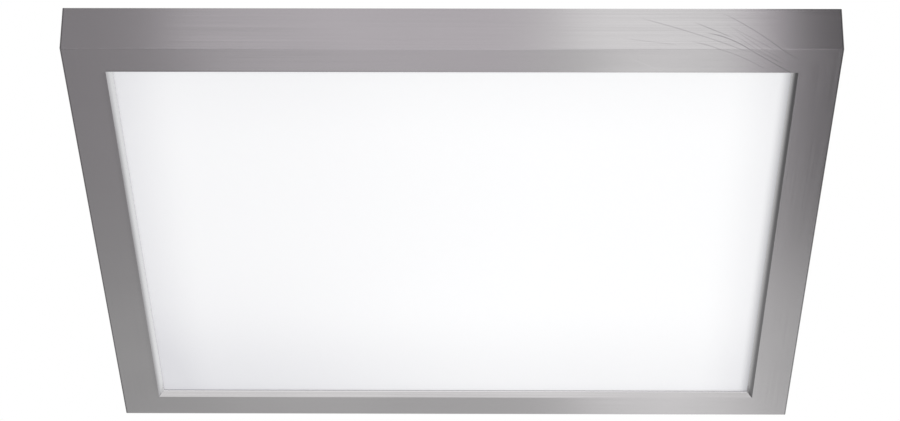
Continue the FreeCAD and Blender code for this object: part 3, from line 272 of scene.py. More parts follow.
# The point of a screw: its length, its part without thread and the radius of its flat, in shares of the
# radius.
POINT_LENGTH, PLAIN_POINT, POINT_FLAT = 0.8, 0.5, 0.3
# The heads and their recesses, in shares of a head's radius and height.
PAN_HEAD = ((1, 0), (1, 0.35), (0.93, 0.66), (0.75, 0.87), (0.45, 0.97))
HEX_HEAD = ((1, 0), (1, 0.8), (0.86, 1))
CROSS_REACH, SLOT_REACH, RECESS_HALF_WIDTH = 0.58, 1.2, 0.13
CROSS_TAPER = 0.55
RECESS_MIDDLE = 0.95


def groove(turns, depth):
    """How deep a V-shaped groove that comes round once a turn is at that place."""
    return depth * abs(2 * (turns % 1) - 1)


def recessed(head, radius, height, slots):
    """The mesh of a head with one slot or two crossed ones cut into it."""
    cap = placed("cap", as_mesh(head, "cap"))
    reach = radius * (CROSS_REACH if slots == 2 else SLOT_REACH)
    half_width = radius * RECESS_HALF_WIDTH
    for half_x, half_y in ((reach, half_width), (half_width, reach))[:slots]:
        # The crossed slots narrow towards their bottom.
        block = bmesh.new()
        bmesh.ops.create_cube(block, size=1)
        for corner in block.verts:
            x, y, z = corner.co
            taper = CROSS_TAPER if slots == 2 and z < 0 else 1
            up = z * height + height * RECESS_MIDDLE
            corner.co = (x * 2 * half_x * taper, y * 2 * half_y * taper, up)
        cutter = placed("cutter", as_mesh(block, "cutter"))
        cut = cap.modifiers.new("recess", "BOOLEAN")
        cut.operation = "DIFFERENCE"
        cut.solver = "EXACT"
        cut.object = cutter
        finished = cap.evaluated_get(bpy.context.evaluated_depsgraph_get())
        cut_mesh = bpy.data.meshes.new_from_object(finished)
        cap.modifiers.clear()
        cap.data = cut_mesh
        bpy.data.objects.remove(cutter)
    mesh = cap.data
    bpy.data.objects.remove(cap)
    return mesh


def screw_mesh(head_radius, head_height, radius, length, sides=40, slots=2):
    """A screw whose head stands on z = 0, with a rolled thread and a slotted or crossed head."""

    def thread(angle, reach, height):
        if radius * PLAIN_POINT - length <= height <= -PLAIN_NECK:
            return reach - groove(height / THREAD_PITCH - angle / TURN, THREAD_DEPTH)
        return reach

    point = radius * POINT_LENGTH
    steps = max(6, round(length / THREAD_PITCH * RINGS_PER_PITCH))
    shank = [(radius, point - length + (length - point) * step / steps) for step in range(steps + 1)]
    profile = [(0, -length), (radius * POINT_FLAT, -length), *shank, (0, 0)]
    shape = turned(profile, SHANK_SIDES, ripple=thread)
    shares = HEX_HEAD if sides == 6 else PAN_HEAD
    outline = [(head_radius * across, head_height * up) for across, up in shares]
    head = turned([(0, 0), *outline, (0, head_height)], sides)
    shape.from_mesh(recessed(head, head_radius, head_height, slots))
    return as_mesh(shape, "screw")


def repeated(mesh, *places):
    """One shape made of copies of a mesh at those places."""
    shape = bmesh.new()
    for place in places:
        copy = mesh.copy()
        copy.transform(place)
        shape.from_mesh(copy)
        bpy.data.meshes.remove(copy)
    return shape


def at(across, along, height, turn=0):
    """The place of a copy, turned about Z."""
    return Matrix.Translation((across, along, height)) @ Matrix.Rotation(turn, 4, "Z")


def middle(node):
    """The middle of a CAD node's box."""
    low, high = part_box(node)
    return [(start + end) / 2 for start, end in zip(low, high)]


green_coat, place, fill = finish("green_coat", Metallic=1)
rub = place.noise(700, 3)
fill(
    Base_Color=rub.above(0.5, 0.9).colour((0.07, 0.34, 0.14, 1), (0.3, 0.42, 0.3, 1)),
    Roughness=rub * 0.25 + 0.22,
)
pan_ground = screw_mesh(
    head_radius=4.5 * MM, head_height=1.5 * MM, radius=2 * MM, length=3.9 * MM, sides=6, slots=1
)
pan_ground_x, pan_ground_y, _ = middle("pan_ground_screw")
upside_down = at(pan_ground_x, pan_ground_y, BOSS_LOW) @ Matrix.Rotation(math.pi, 4, "X")
pan_screw = repeated(pan_ground, upside_down)
add("green_pan_screw", pan_screw, green_coat, "pan", "pan_ground_screw")

# Hinges. Leaves of zinc-plated steel, rolled into knuckles, and bright steel pins. The fixed leaves are
# riveted to the pan's near flange, and the moving ones are spot-welded to the frame's wall.
zinc_plate, place, fill = finish("zinc_plate", Metallic=1)
haze = place.noise(35, 3)
fill(
    Base_Color=haze.colour((0.56, 0.58, 0.61, 1), (0.66, 0.63, 0.52, 1)),
    Roughness=haze * 0.15 + place.noise(600, 2) * 0.12 + 0.22,
    Normal=place.noise(500, 2).bump(0.02 * MM, 0.3),
)
for side in ("left", "right"):
    wear(zinc_plate, f"{side}_hinge_fixed_leaf", f"{side}_hinge_moving_leaf")

bright_steel, place, fill = finish("bright_steel", Metallic=1)
scuff = place.noise(400, 3)
fill(
    Base_Color=scuff.colour((0.6, 0.585, 0.56, 1), (0.45, 0.44, 0.43, 1)),
    Roughness=scuff * 0.2 + 0.15,
)
wear(bright_steel, "left_hinge_pin", "right_hinge_pin")


def in_mm(*points):
    """A profile of (radius, height) given in millimetres."""
    return [(radius * MM, height * MM) for radius, height in points]


RIVET_INSET = 12 * MM
rivet_end = in_mm((0, 1.8), (1.2, 1.72), (2.1, 1.4), (2.6, 1), (1.5, 1))
other_end = [(radius, -height) for radius, height in rivet_end]
rivet_mesh = as_mesh(turned(other_end + rivet_end[::-1], SHANK_SIDES), "rivet")
leaf_low, leaf_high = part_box("right_hinge_fixed_leaf")
_, rivet_y, rivet_z = middle("hinge_rivets")
lying = Matrix.Rotation(-math.pi / 2, 4, "X")
rivet_places = [
    at(sign * across, rivet_y, rivet_z) @ lying
    for sign in (-1, 1)
    for across in (leaf_low[0] + RIVET_INSET, leaf_high[0] - RIVET_INSET)
]
rivets = repeated(rivet_mesh, *rivet_places)
add("domed_rivets", rivets, bright_steel, "pan", "hinge_rivets")

# Trim frame. One sheet of steel, folded into a side wall, a face and a bevel, welded and ground at its
# corners, plated with nickel and brushed along each side.
FRAME_LOW, FRAME_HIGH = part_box("trim_frame")
HALF = FRAME_HIGH[0]
WALL_TOP, FACE_Z = FRAME_HIGH[2], FRAME_LOW[2]
FACE_EDGE = HALF - 33 * MM
BEVEL_RUN = 5 * MM
SHARP = 0.1 * MM
FOLD_CORE, FOLD_SIDE = 0.6 * MM, 0.9 * MM
MITRE = 2 * MM
NICKEL_NEAR = (0.432, 0.406, 0.427, 1)
NICKEL_FAR = (0.43, 0.421, 0.424, 1)
# The shade colour serves the darker brushing and the painted shade, the edge colour the painted shade at the
# folds and corners, and the lip colour the painted highlight on the far lip.
NICKEL_SHADE = (0.25, 0.24, 0.25, 1)
NICKEL_EDGE_SHADE = (0.1, 0.095, 0.1, 1)
NICKEL_LIP_HIGHLIGHT = (0.54, 0.532, 0.54, 1)
GRAIN_FINE, GRAIN_LONG = 1500, 5
brushed_nickel, place, fill = finish("brushed_nickel", Metallic=1)
x, y, z = place.apart()
on_leg = (abs(x) - abs(y)).above(-MITRE, MITRE)
along_x = place.stretched(GRAIN_LONG, GRAIN_FINE, GRAIN_FINE).noise(1, 4, 0.7)
along_y = place.stretched(GRAIN_FINE, GRAIN_LONG, GRAIN_FINE).noise(1, 4, 0.7)
grain = along_x + on_leg * (along_y - along_x)
cloud = place.noise(7, 2)
# Faint curved streaks run down the near wall and across the fold, towards the right corner. Each has its
# start, its depth there, its slope, its sag, its length and its weight. Lengths are in millimetres along the
# wall, and depths go down the wall and on across the face.
STREAK_WAVER = 1.6
STREAK_CORE, STREAK_SIDE = 0.15, 0.85
STREAK_START, STREAK_FULL, STREAK_FADING = -2, 14, 10
depth = ((y + HALF) - z) * 1000 + (place.noise(16, 1) - 0.5) * STREAK_WAVER
streaks = 0
for begin, top, slope, sag, length, weight in (
    (147, 11, 0.31, 0.0009, 90, 0.8),
    (187, 13.9, 0.5, 0, 35, 1),
    (196, 24.9, 0.12, 0.009, 43, 1.5),
    (226, 35.7, 0.95, 0, 48, 1.5),
    (211, 6.3, 0.55, 0.0045, 62, 1),
    (185, 33.2, 0.15, 0.0072, 66, 0.85),
    (131, 29.7, 0.15, 0, 48, 0.35),
    (213, 16.4, 0.65, 0, 44, 0.55),
    (214, 23.6, 0.6, 0.006, 46, 0.6),
    (217, 19.6, 0.84, 0, 44, 0.6),
    (223, 31.1, 0.82, 0, 40, 0.6),
    (137, 52, 0.7, 0, 26, -0.5),
):
    run = x * 1000 - begin
    streak = abs(depth - (run * run * sag + run * slope + top)).below(STREAK_CORE, STREAK_SIDE)
    streak = streak * run.within(STREAK_START, STREAK_FULL, length - STREAK_FADING, length)
    streaks = streak * weight + streaks
streaks = streaks * y.below(-FACE_EDGE + 1 * MM, -FACE_EDGE + 2 * MM)
# Painted shade: the metal is painted darker along the top at the right, before the near bevel and beside the
# left one, and dark along the folds of the legs and at the near corners.
# Painted shade along the top edge of the walls, at the right.
top_edge_shade = z.above(WALL_TOP - 1.4 * MM, WALL_TOP - 0.7 * MM) * x.above(0.2, 0.31)
# Painted shade on the face beside the left bevel.
beside_bevel_shade = x.within(-FACE_EDGE - 6 * MM, -FACE_EDGE, -FACE_EDGE, -FACE_EDGE + SHARP)
beside_bevel_shade = beside_bevel_shade * y.within(-FACE_EDGE - 1 * MM, -FACE_EDGE + 3 * MM, 0.24, 0.28)
# Painted shade along the face's edge before the near bevel, strongest at the left.
before_bevel_shade = y.within(-FACE_EDGE - 4 * MM, -FACE_EDGE, -FACE_EDGE, -FACE_EDGE + SHARP)
before_bevel_shade = before_bevel_shade * abs(x).below(FACE_EDGE - 1 * MM, FACE_EDGE + 1 * MM)
before_bevel_shade = before_bevel_shade * (x.below(-0.1, 0.16) * 0.26 + 0.08)
# Painted shade along the lower folds at the ends of the legs and at the near corners.
low_fold = z.below(FACE_Z + FOLD_CORE, FACE_Z + FOLD_SIDE)
near_wall = y.below(-HALF + FOLD_CORE, -HALF + FOLD_SIDE)
fold_and_corner_shade = abs(x).above(HALF - 1.6 * MM, HALF - 0.7 * MM) * low_fold.larger(near_wall)
tone = grain * 0.5 + cloud * 0.4 + streaks * 0.5
# The painted shade is added to the tone of the brushing.
tone = tone + top_edge_shade * 0.9 + beside_bevel_shade * 0.22 + before_bevel_shade
far_tint = y.above(-0.3, 0.25).larger(x.within(0.02, 0.12, 0.2, 0.26))
nickel = far_tint.colour(NICKEL_NEAR, NICKEL_FAR)
nickel = tone.above(0.2, 1.4).colour(nickel, NICKEL_SHADE)
# Painted shade at the folds and corners.
nickel = (fold_and_corner_shade * 0.8).colour(nickel, NICKEL_EDGE_SHADE)
# The cut edge of the far ledge, which the panel lies on, has a painted highlight.
far_lip_highlight = z.above(FACE_Z + 3.4 * MM, FACE_Z + 3.8 * MM) * y.within(0.2, 0.21, 0.28, 0.285)
nickel = far_lip_highlight.colour(nickel, NICKEL_LIP_HIGHLIGHT)
# The two side bevels have a painted reflection in their colour: dark at the fold and bright at the lip.
from_fold = (FACE_EDGE - abs(x)) * (1 / BEVEL_RUN)
on_side_bevel = (abs(x) - abs(y)).above(0, SHARP) * from_fold.above(0, 0.02)
# Painted dark reflection at the folds of the bevels, and a painted bright reflection towards their lips.
left_fold = y.above(-0.27, -0.14).colour((0.3, 0.295, 0.305, 1), (0.2, 0.196, 0.204, 1))
left_bevel_reflection = from_fold.above(-0.1, 0.7).colour(left_fold, (0.465, 0.467, 0.475, 1))
right_fold = y.above(-0.3, 0.2).colour((0.12, 0.117, 0.12, 1), (0.24, 0.235, 0.24, 1))
right_bevel_reflection = from_fold.above(0.25, 1.05).colour(right_fold, (0.82, 0.81, 0.82, 1))
bevel = x.above(-1 * MM, 1 * MM).colour(left_bevel_reflection, right_bevel_reflection)
# The base colour carries the painted shade, the painted highlight and the painted reflection.
fill(
    Base_Color=on_side_bevel.colour(nickel, bevel),
    Roughness=grain * 0.12 + cloud * 0.04 + 0.08,
    Normal=grain.bump(0.006 * MM, 0.5),
)
wear(brushed_nickel, "trim_frame")

# Thumbscrews. Turned brass plated with nickel, with a straight knurl and a dished face. Each has a square nut
# behind the pan's flange, in a cage of folded strip that is welded to the wall.
THUMB_X, _, THUMB_Z = middle("right_thumbscrew")
KNURLS = 40
KNURL_DEPTH = 0.5 * MM
KNURL_INNER = 7.8 * MM
THUMB_RADIUS = 2 * MM
THUMB_PITCH = 0.7 * MM
THUMB_THREAD_DEPTH = 0.22 * MM
THUMB_THREAD_TOP = -0.4 * MM
THUMB_SHANK_LOW = -9.6 * MM
THUMB_RING_STEP, THUMB_RINGS = 0.1 * MM, 98
TOOL_MARKS = 26000


def knurled(angle, radius, height):
    """Cuts the knurl into the rim of the head, and the thread into the shank."""
    if radius > KNURL_INNER:
        return radius - groove(angle * KNURLS / TURN, KNURL_DEPTH)
    if radius == THUMB_RADIUS and height < THUMB_THREAD_TOP:
        return radius - groove(height / THUMB_PITCH - angle / TURN, THUMB_THREAD_DEPTH)
    return radius


turned_nickel, place, fill = finish("turned_nickel", Metallic=1)
x, _, z = place.apart()
from_axis = ((abs(x) - THUMB_X) ** 2 + (z - THUMB_Z) ** 2) ** 0.5
tool_marks = (from_axis * TOOL_MARKS + place.noise(120, 1) * 2).maths("SINE")
fill(
    Base_Color=place.noise(250, 3).colour((0.5, 0.485, 0.48, 1), (0.38, 0.37, 0.365, 1)),
    Roughness=tool_marks * 0.04 + 0.2,
    Normal=tool_marks.bump(0.004 * MM, 0.4),
)
thumb_profile = [
    *in_mm((0, -9.9), (1.5, -9.9)),
    *((THUMB_RADIUS, THUMB_SHANK_LOW + THUMB_RING_STEP * step) for step in range(THUMB_RINGS)),
    *in_mm((5.2, 0.1), (5.5, 0.4), (5.5, 1.7), (5.1, 2.1), (7.3, 2.1), (7.95, 2.6), (8, 2.9), (8, 5.3)),
    *in_mm((7.95, 5.6), (7.3, 6.1), (5.2, 6.1), (4.7, 5.4), (3, 5.1), (0, 5)),
]
thumb_mesh = as_mesh(turned(thumb_profile, 4 * KNURLS, ripple=knurled), "thumb")
for side, sign in (("left", -1), ("right", 1)):
    thumb = repeated(thumb_mesh, at(sign * THUMB_X, HALF, THUMB_Z) @ lying)
    add(
        f"{side}_knurled_screw", thumb, turned_nickel,
        f"{side}_screw", f"{side}_thumbscrew", smooth=28,
    )
    wear(zinc_plate, f"{side}_clamp_nut", f"{side}_nut_cage")

# Opal panel. Acrylic sheet that lies on the frame's ledge and spreads the light of the guide behind it. Shade
# is painted into its colour and its glow: darker along its sides, towards its near and far edges, to the left
# and at the far left, and darkest at the right edge, as the painted shadow of the frame's lip.
EDGE_SHADE_START, EDGE_SHADE_END = 258 * MM, 272 * MM
opal, place, fill = finish("opal_panel", Roughness=0.42, Specular_IOR_Level=0.4, Emission_Strength=0.49)
x, y, _ = place.apart()
far_left = y.above(0.0, 0.28) * x.below(-0.27, 0.05)
sides = abs(x).above(0.215, 0.272)
shade = far_left * 0.3 + sides * 0.38 + y.above(0.1, 0.27) * 0.3 + y.below(-0.27, -0.15) * 0.12
shade = shade + x.below(-0.27, 0.1) * 0.24 + (place.noise(5, 1) - 0.5) * 0.06
# Painted shadow of the frame's lip along the right edge, in both colour and glow.
right_edge = x.above(EDGE_SHADE_START, EDGE_SHADE_END)
# The panel's colour and glow carry the painted shade.
acrylic = shade.colour((0.86, 0.865, 0.87, 1), (0.66, 0.66, 0.68, 1))
light = shade.colour((1, 1, 1, 1), (0.68, 0.68, 0.71, 1))
fill(
    Base_Color=right_edge.colour(acrylic, (0.4, 0.4, 0.41, 1)),
    Emission_Color=right_edge.colour(light, (0.3, 0.3, 0.32, 1)),
)
wear(opal, "diffuser")

# Light guide and reflector. A clear acrylic plate printed with fine dots on its back, and a sheet of white
# film that sends the light down again. Both lie loose on the panel.
clear_acrylic, place, fill = finish(
    "clear_acrylic", Transmission_Weight=0.85, IOR=1.49, Emission_Strength=0.25
)
dots = place.cells(500).below(0.3, 0.4)
fill(
    Base_Color=dots.colour((0.95, 0.97, 0.96, 1), (0.9, 0.9, 0.9, 1)),
    Roughness=dots * 0.4 + 0.04,
    Emission_Color=dots.colour((0.7, 0.8, 0.85, 1), (1, 1, 1, 1)),
)
wear(clear_acrylic, "light_guide_plate")
white_film, place, fill = finish("white_film")
fill(
    Base_Color=place.noise(30, 2).colour((0.9, 0.9, 0.9, 1), (0.84, 0.845, 0.85, 1)),
    Roughness=place.noise(200, 1) * 0.1 + 0.45,
)
wear(white_film, "reflector_sheet")

# LED boards. Narrow boards with a white mask and a row of phosphor-capped LEDs, taped to extruded aluminium
# rails that carry their heat to the frame.
TRACK_Z = -30.6 * MM
TRACK_CORE, TRACK_SIDE = 0.2 * MM, 0.3 * MM
board_white, place, fill = finish("board_white")
tracks = abs(place.apart()[2] - TRACK_Z).below(TRACK_CORE, TRACK_SIDE)
fill(
    Base_Color=tracks.colour((0.78, 0.79, 0.77, 1), (0.62, 0.64, 0.6, 1)),
    Roughness=place.noise(150, 2) * 0.15 + 0.3,
)
wear(board_white, "left_led_board", "right_led_board")
phosphor, place, fill = finish("phosphor", Emission_Strength=0.8)
powder = place.noise(900, 2)
fill(
    Base_Color=powder.colour((0.9, 0.72, 0.16, 1), (0.82, 0.6, 0.1, 1)),
    Roughness=place.noise(500, 1) * 0.2 + 0.35,
    Emission_Color=powder.colour((1, 0.93, 0.75, 1), (1, 0.86, 0.6, 1)),
)
wear(phosphor, "left_leds", "right_leds")
DRAW_FINE, DRAW_LONG = 2600, 6
aluminium, place, fill = finish("aluminium", Metallic=1)
draw_lines = place.stretched(DRAW_FINE, DRAW_LONG, DRAW_FINE).noise(1, 3, 0.6)
fill(
    Base_Color=draw_lines.colour((0.66, 0.67, 0.68, 1), (0.5, 0.51, 0.52, 1)),
    Roughness=draw_lines * 0.2 + 0.22,
    Normal=draw_lines.bump(0.02 * MM, 0.4),
)
wear(aluminium, "left_led_rail", "right_led_rail")

# Spacers, sockets and clips. Moulded white nylon: the spacers close the near and far edges of the guide, the
# sockets stand up through the back cover, and the clips hold the leads down on it.
nylon, place, fill = finish("white_nylon")
fill(
    Base_Color=place.noise(40, 2).colour((0.74, 0.735, 0.7, 1), (0.66, 0.655, 0.62, 1)),
    Roughness=place.noise(300, 2) * 0.15 + 0.35,
    Normal=place.noise(700, 1).bump(0.02 * MM, 0.3),
)
wear(nylon, "near_edge_spacer", "far_edge_spacer", "led_sockets", "lead_clips")

# Foam pad. Grey closed-cell foam, die-cut to a sheet. The back cover presses on it, and it holds the stack
# down on the ledge.
foam, place, fill = finish("grey_foam")
pores = place.cells(900)
fill(
    Base_Color=pores.above(0, 0.6).colour((0.1, 0.1, 0.105, 1), (0.2, 0.2, 0.205, 1)),
    Roughness=pores * 0.1 + 0.85,
    Normal=pores.bump(0.2 * MM, 0.6),
)
wear(foam, "foam_pad")

# Back cover. Hot-dip galvanised sheet with two pressed beads, with the crystals of its coating showing. It
# lies on the brackets of the walls. The driver's base is of the same sheet.
galvanised, place, fill = finish("galvanised", Metallic=1)
spangle = place.cells(170, output=1).apart()[0]
dulling = place.noise(14, 3)
fill(
    Base_Color=(spangle * 0.7 + dulling * 0.3).colour((0.6, 0.62, 0.64, 1), (0.46, 0.48, 0.5, 1)),
    Roughness=spangle * 0.14 + 0.28,
    Normal=place.noise(300, 2).bump(0.03 * MM, 0.25),
)
wear(galvanised, "back_cover", "driver_base")

# Cover brackets and screws. Zinc-plated steel strip, folded and spot-welded to the walls, and eight screws
# with cross recesses that hold the cover down. Each screw has stopped at its own angle.
wear(zinc_plate, "cover_brackets")
COVER_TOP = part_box("driver_base")[0][2]
SCREW_LINE = HALF - 8 * MM
BRACKET_OFFSET = 150 * MM
cover_places = []
for offset in (-BRACKET_OFFSET, BRACKET_OFFSET):
    for line in (-SCREW_LINE, SCREW_LINE):
        cover_places.append(at(line, offset, COVER_TOP, 9 * (line + offset)))
        cover_places.append(at(offset, line, COVER_TOP, 5 * (line - offset)))
cover_screw = screw_mesh(head_radius=2.8 * MM, head_height=2 * MM, radius=1.5 * MM, length=5.8 * MM)
cover_screws = repeated(cover_screw, *cover_places)
add("pan_head_cover_screws", cover_screws, bright_steel, "light", "cover_screws")

# Driver. A galvanised base, a moulded white case, and inside it a board with its transformer, choke,
# capacitors and lead headers. Two rubber grommets hold the leads and four screws hold the base.
DRIVER_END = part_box("driver_case")[1][0]
DRIVER_Y = middle("driver_case")[1]
BASE_TOP = COVER_TOP + 1.2 * MM
EAR_X = DRIVER_END + 6 * MM
EAR_Y = 15 * MM
case_white, place, fill = finish("case_white")
mould_grain = place.noise(1400, 2)
fill(
    Base_Color=place.noise(25, 3).colour((0.7, 0.705, 0.7, 1), (0.62, 0.625, 0.615, 1)),
    Roughness=mould_grain * 0.15 + 0.42,
    Normal=mould_grain.bump(0.04 * MM, 0.45),
)
wear(case_white, "driver_case")
circuit, place, fill = finish("circuit_board", Coat_Weight=0.3)
traces = place.stretched(1, 1, 0).cells(160, "DISTANCE_TO_EDGE").below(0.04, 0.07)
fill(
    Base_Color=traces.colour((0.012, 0.09, 0.04, 1), (0.05, 0.2, 0.09, 1)),
    Roughness=traces * 0.15 + 0.3,
)
wear(circuit, "driver_board")
parts, place, fill = finish("driver_parts")
x = place.apart()[0]
taped_transformer = x.within(-3 * MM, -1 * MM, 28 * MM, 30 * MM)
copper_choke = x.within(-76 * MM, -75 * MM, -59 * MM, -58 * MM)
headers = abs(x).above(92 * MM, 94 * MM)
shades = taped_transformer.colour((0.03, 0.03, 0.035, 1), (0.75, 0.55, 0.08, 1))
shades = copper_choke.colour(shades, (0.5, 0.22, 0.08, 1))
shades = headers.colour(shades, (0.75, 0.74, 0.7, 1))
fill(Base_Color=shades, Roughness=place.noise(300, 2) * 0.2 + 0.3)
wear(parts, "driver_components")
wear(rubber, "driver_grommets")
driver_places = [
    at(sign * EAR_X, DRIVER_Y + end * EAR_Y, BASE_TOP, sign + 2 * end) for sign in (-1, 1) for end in (-1, 1)
]
driver_screw = screw_mesh(head_radius=2.8 * MM, head_height=2 * MM, radius=1.5 * MM, length=3.5 * MM)
driver_screws = repeated(driver_screw, *driver_places)
add("pan_head_driver_screws", driver_screws, bright_steel, "light", "driver_screws")

# Terminal block. Moulded grey nylon with three brass clamps, each with two slotted screws, and two fixing
# screws down in their wells.
BLOCK_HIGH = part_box("terminal_block")[1]
BLOCK_X = middle("terminal_block")[0]
POLE_PITCH = 10 * MM
CLAMP_OFFSET = 4 * MM
CLAMP_TOP = COVER_TOP + 9.6 * MM
WELL_FLOOR = COVER_TOP + 7 * MM
block_grey, place, fill = finish("block_grey")
fill(
    Base_Color=place.noise(120, 2).colour((0.36, 0.365, 0.37, 1), (0.29, 0.295, 0.3, 1)),
    Roughness=place.noise(500, 2) * 0.15 + 0.35,
)
wear(block_grey, "terminal_block")
brass, place, fill = finish("brass", Metallic=1)
tarnish = place.noise(350, 3)
fill(
    Base_Color=tarnish.colour((0.78, 0.58, 0.26, 1), (0.5, 0.36, 0.17, 1)),
    Roughness=tarnish * 0.25 + 0.15,
)
wear(brass, "terminal_clamps")
clamp_places = [
    at(BLOCK_X + side * CLAMP_OFFSET, DRIVER_Y + pole * POLE_PITCH, CLAMP_TOP, pole + side)
    for pole in (-1, 0, 1)
    for side in (-1, 1)
]
clamp_screw = screw_mesh(
    head_radius=2 * MM, head_height=1.2 * MM, radius=1.2 * MM, length=1.2 * MM, sides=32, slots=1
)
clamp_screws = repeated(clamp_screw, *clamp_places)
add("slotted_clamp_screws", clamp_screws, bright_steel, "light", "terminal_screws")
fixing_places = [at(BLOCK_X, DRIVER_Y + side * POLE_PITCH / 2, WELL_FLOOR) for side in (-1, 1)]
fixing_screw = screw_mesh(
    head_radius=1.9 * MM, head_height=1.2 * MM, radius=1.2 * MM, length=9.3 * MM, sides=32
)
fixing_screws = repeated(fixing_screw, *fixing_places)
add("block_fixing_screws", fixing_screws, bright_steel, "light", "terminal_fixing_screws")

# Grounding of the light. A ring terminal of tinned copper, crimped on the earth lead, and a hexagonal screw
# with a green coating that holds it to the back cover.
GROUND_X, GROUND_Y = -150 * MM, 30 * MM
RING_TOP = COVER_TOP + 0.8 * MM
tinned, place, fill = finish("tinned_copper", Metallic=1)
fill(
    Base_Color=place.noise(300, 3).colour((0.68, 0.67, 0.65, 1), (0.55, 0.5, 0.45, 1)),
    Roughness=place.noise(500, 2) * 0.2 + 0.2,
)
wear(tinned, "ring_terminal")
light_ground = screw_mesh(
    head_radius=2.8 * MM, head_height=2 * MM, radius=1.5 * MM, length=3.1 * MM, sides=6, slots=1
)
light_screw = repeated(light_ground, at(GROUND_X, GROUND_Y, RING_TOP))
add("green_light_screw", light_screw, green_coat, "light", "ground_screw")

# Leads. Stranded copper in vinyl, black, white and green from the terminal block, and two white ones from the
# driver to the LED boards, held in their clips.
LEAD_RADIUS = 1.3 * MM
POLE_X = BLOCK_X + CLAMP_OFFSET
POLE_Z = COVER_TOP + 7 * MM
EXIT_Z = COVER_TOP + 10.5 * MM
REST_Z = COVER_TOP + 1.6 * MM
BARREL_Z = COVER_TOP + 2.45 * MM
INSIDE = DRIVER_END - 3.5 * MM
NEAR_LEAD, FAR_LEAD = DRIVER_Y - 1.8 * MM, DRIVER_Y + 1.8 * MM
SOCKETS_LOW, SOCKETS_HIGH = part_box("led_sockets")
SOCKET_X = SOCKETS_HIGH[0] - 2.5 * MM
SOCKET_Y = SOCKETS_LOW[1]
REAR_RUN = DRIVER_Y + 65 * MM


def vinyl(name, colour, worn):
    material, place, fill = finish(name)
    fill(
        Base_Color=place.noise(80, 3).colour(colour, worn),
        Roughness=place.noise(200, 2) * 0.15 + 0.3,
        Normal=place.noise(900, 1).bump(0.02 * MM, 0.25),
    )
    return material


def lead(name, material, finish_slot, node, *points):
    """A lead along its route, round all the way."""
    curve = bpy.data.curves.new(name, "CURVE")
    curve.dimensions = "3D"
    curve.bevel_depth = LEAD_RADIUS
    curve.bevel_resolution = 3
    curve.use_fill_caps = True
    curve.resolution_u = 6
    route = curve.splines.new("NURBS")
    route.points.add(len(points) - 1)
    for spot, point in zip(route.points, points):
        spot.co = (*point, 1)
    route.order_u = 3
    route.use_endpoint_u = True
    fit(placed(name, curve), material, "light", node)


black_vinyl = vinyl("black_vinyl", (0.015, 0.015, 0.016, 1), (0.03, 0.03, 0.03, 1))
white_vinyl = vinyl("white_vinyl", (0.78, 0.78, 0.76, 1), (0.68, 0.68, 0.65, 1))
green_vinyl = vinyl("green_vinyl", (0.02, 0.24, 0.06, 1), (0.03, 0.17, 0.05, 1))
lead(
    "live_wire", black_vinyl, "black_lead", "live_lead",
    (POLE_X, DRIVER_Y + POLE_PITCH, POLE_Z),
    (BLOCK_HIGH[0] + 15 * MM, DRIVER_Y + POLE_PITCH, POLE_Z),
    (-DRIVER_END - 25 * MM, FAR_LEAD, EXIT_Z),
    (-INSIDE, FAR_LEAD, EXIT_Z),
)
lead(
    "neutral_wire", white_vinyl, "white_lead", "neutral_lead",
    (POLE_X, DRIVER_Y, POLE_Z),
    (BLOCK_HIGH[0] + 18 * MM, DRIVER_Y, POLE_Z),
    (-DRIVER_END - 22 * MM, NEAR_LEAD, EXIT_Z),
    (-INSIDE, NEAR_LEAD, EXIT_Z),
)
lead(
    "earth_wire", green_vinyl, "green_lead", "earth_lead",
    (POLE_X, DRIVER_Y - POLE_PITCH, POLE_Z),
    (BLOCK_HIGH[0] + 14 * MM, DRIVER_Y - POLE_PITCH, POLE_Z),
    (GROUND_X, DRIVER_Y - POLE_PITCH - 12 * MM, BARREL_Z),
    (GROUND_X, GROUND_Y + 4.5 * MM, BARREL_Z),
)
lead(
    "right_board_wire", white_vinyl, "white_lead", "right_dc_lead",
    (INSIDE, NEAR_LEAD, EXIT_Z),
    (DRIVER_END + 22 * MM, NEAR_LEAD, EXIT_Z),
    (DRIVER_END + 50 * MM, DRIVER_Y + 6 * MM, REST_Z),
    (DRIVER_END + 92 * MM, DRIVER_Y + 33 * MM, REST_Z),
    (SOCKET_X - 36 * MM, DRIVER_Y + 72 * MM, REST_Z),
    (SOCKET_X - 6 * MM, DRIVER_Y + 118 * MM, REST_Z),
    (SOCKET_X, SOCKET_Y - 37 * MM, REST_Z),
    (SOCKET_X, SOCKET_Y, REST_Z),
)
lead(
    "left_board_wire", white_vinyl, "white_lead", "left_dc_lead",
    (INSIDE, FAR_LEAD, EXIT_Z),
    (DRIVER_END + 18 * MM, FAR_LEAD, EXIT_Z),
    (DRIVER_END + 38 * MM, DRIVER_Y + 17 * MM, REST_Z + 3 * MM),
    (DRIVER_END + 30 * MM, REAR_RUN - 19 * MM, REST_Z),
    (DRIVER_END - 20 * MM, REAR_RUN, REST_Z),
    (GROUND_X - 30 * MM, REAR_RUN, REST_Z),
    (14 * MM - SOCKET_X, DRIVER_Y + 100 * MM, REST_Z),
    (-SOCKET_X, SOCKET_Y - 42 * MM, REST_Z),
    (-SOCKET_X, SOCKET_Y, REST_Z),
)

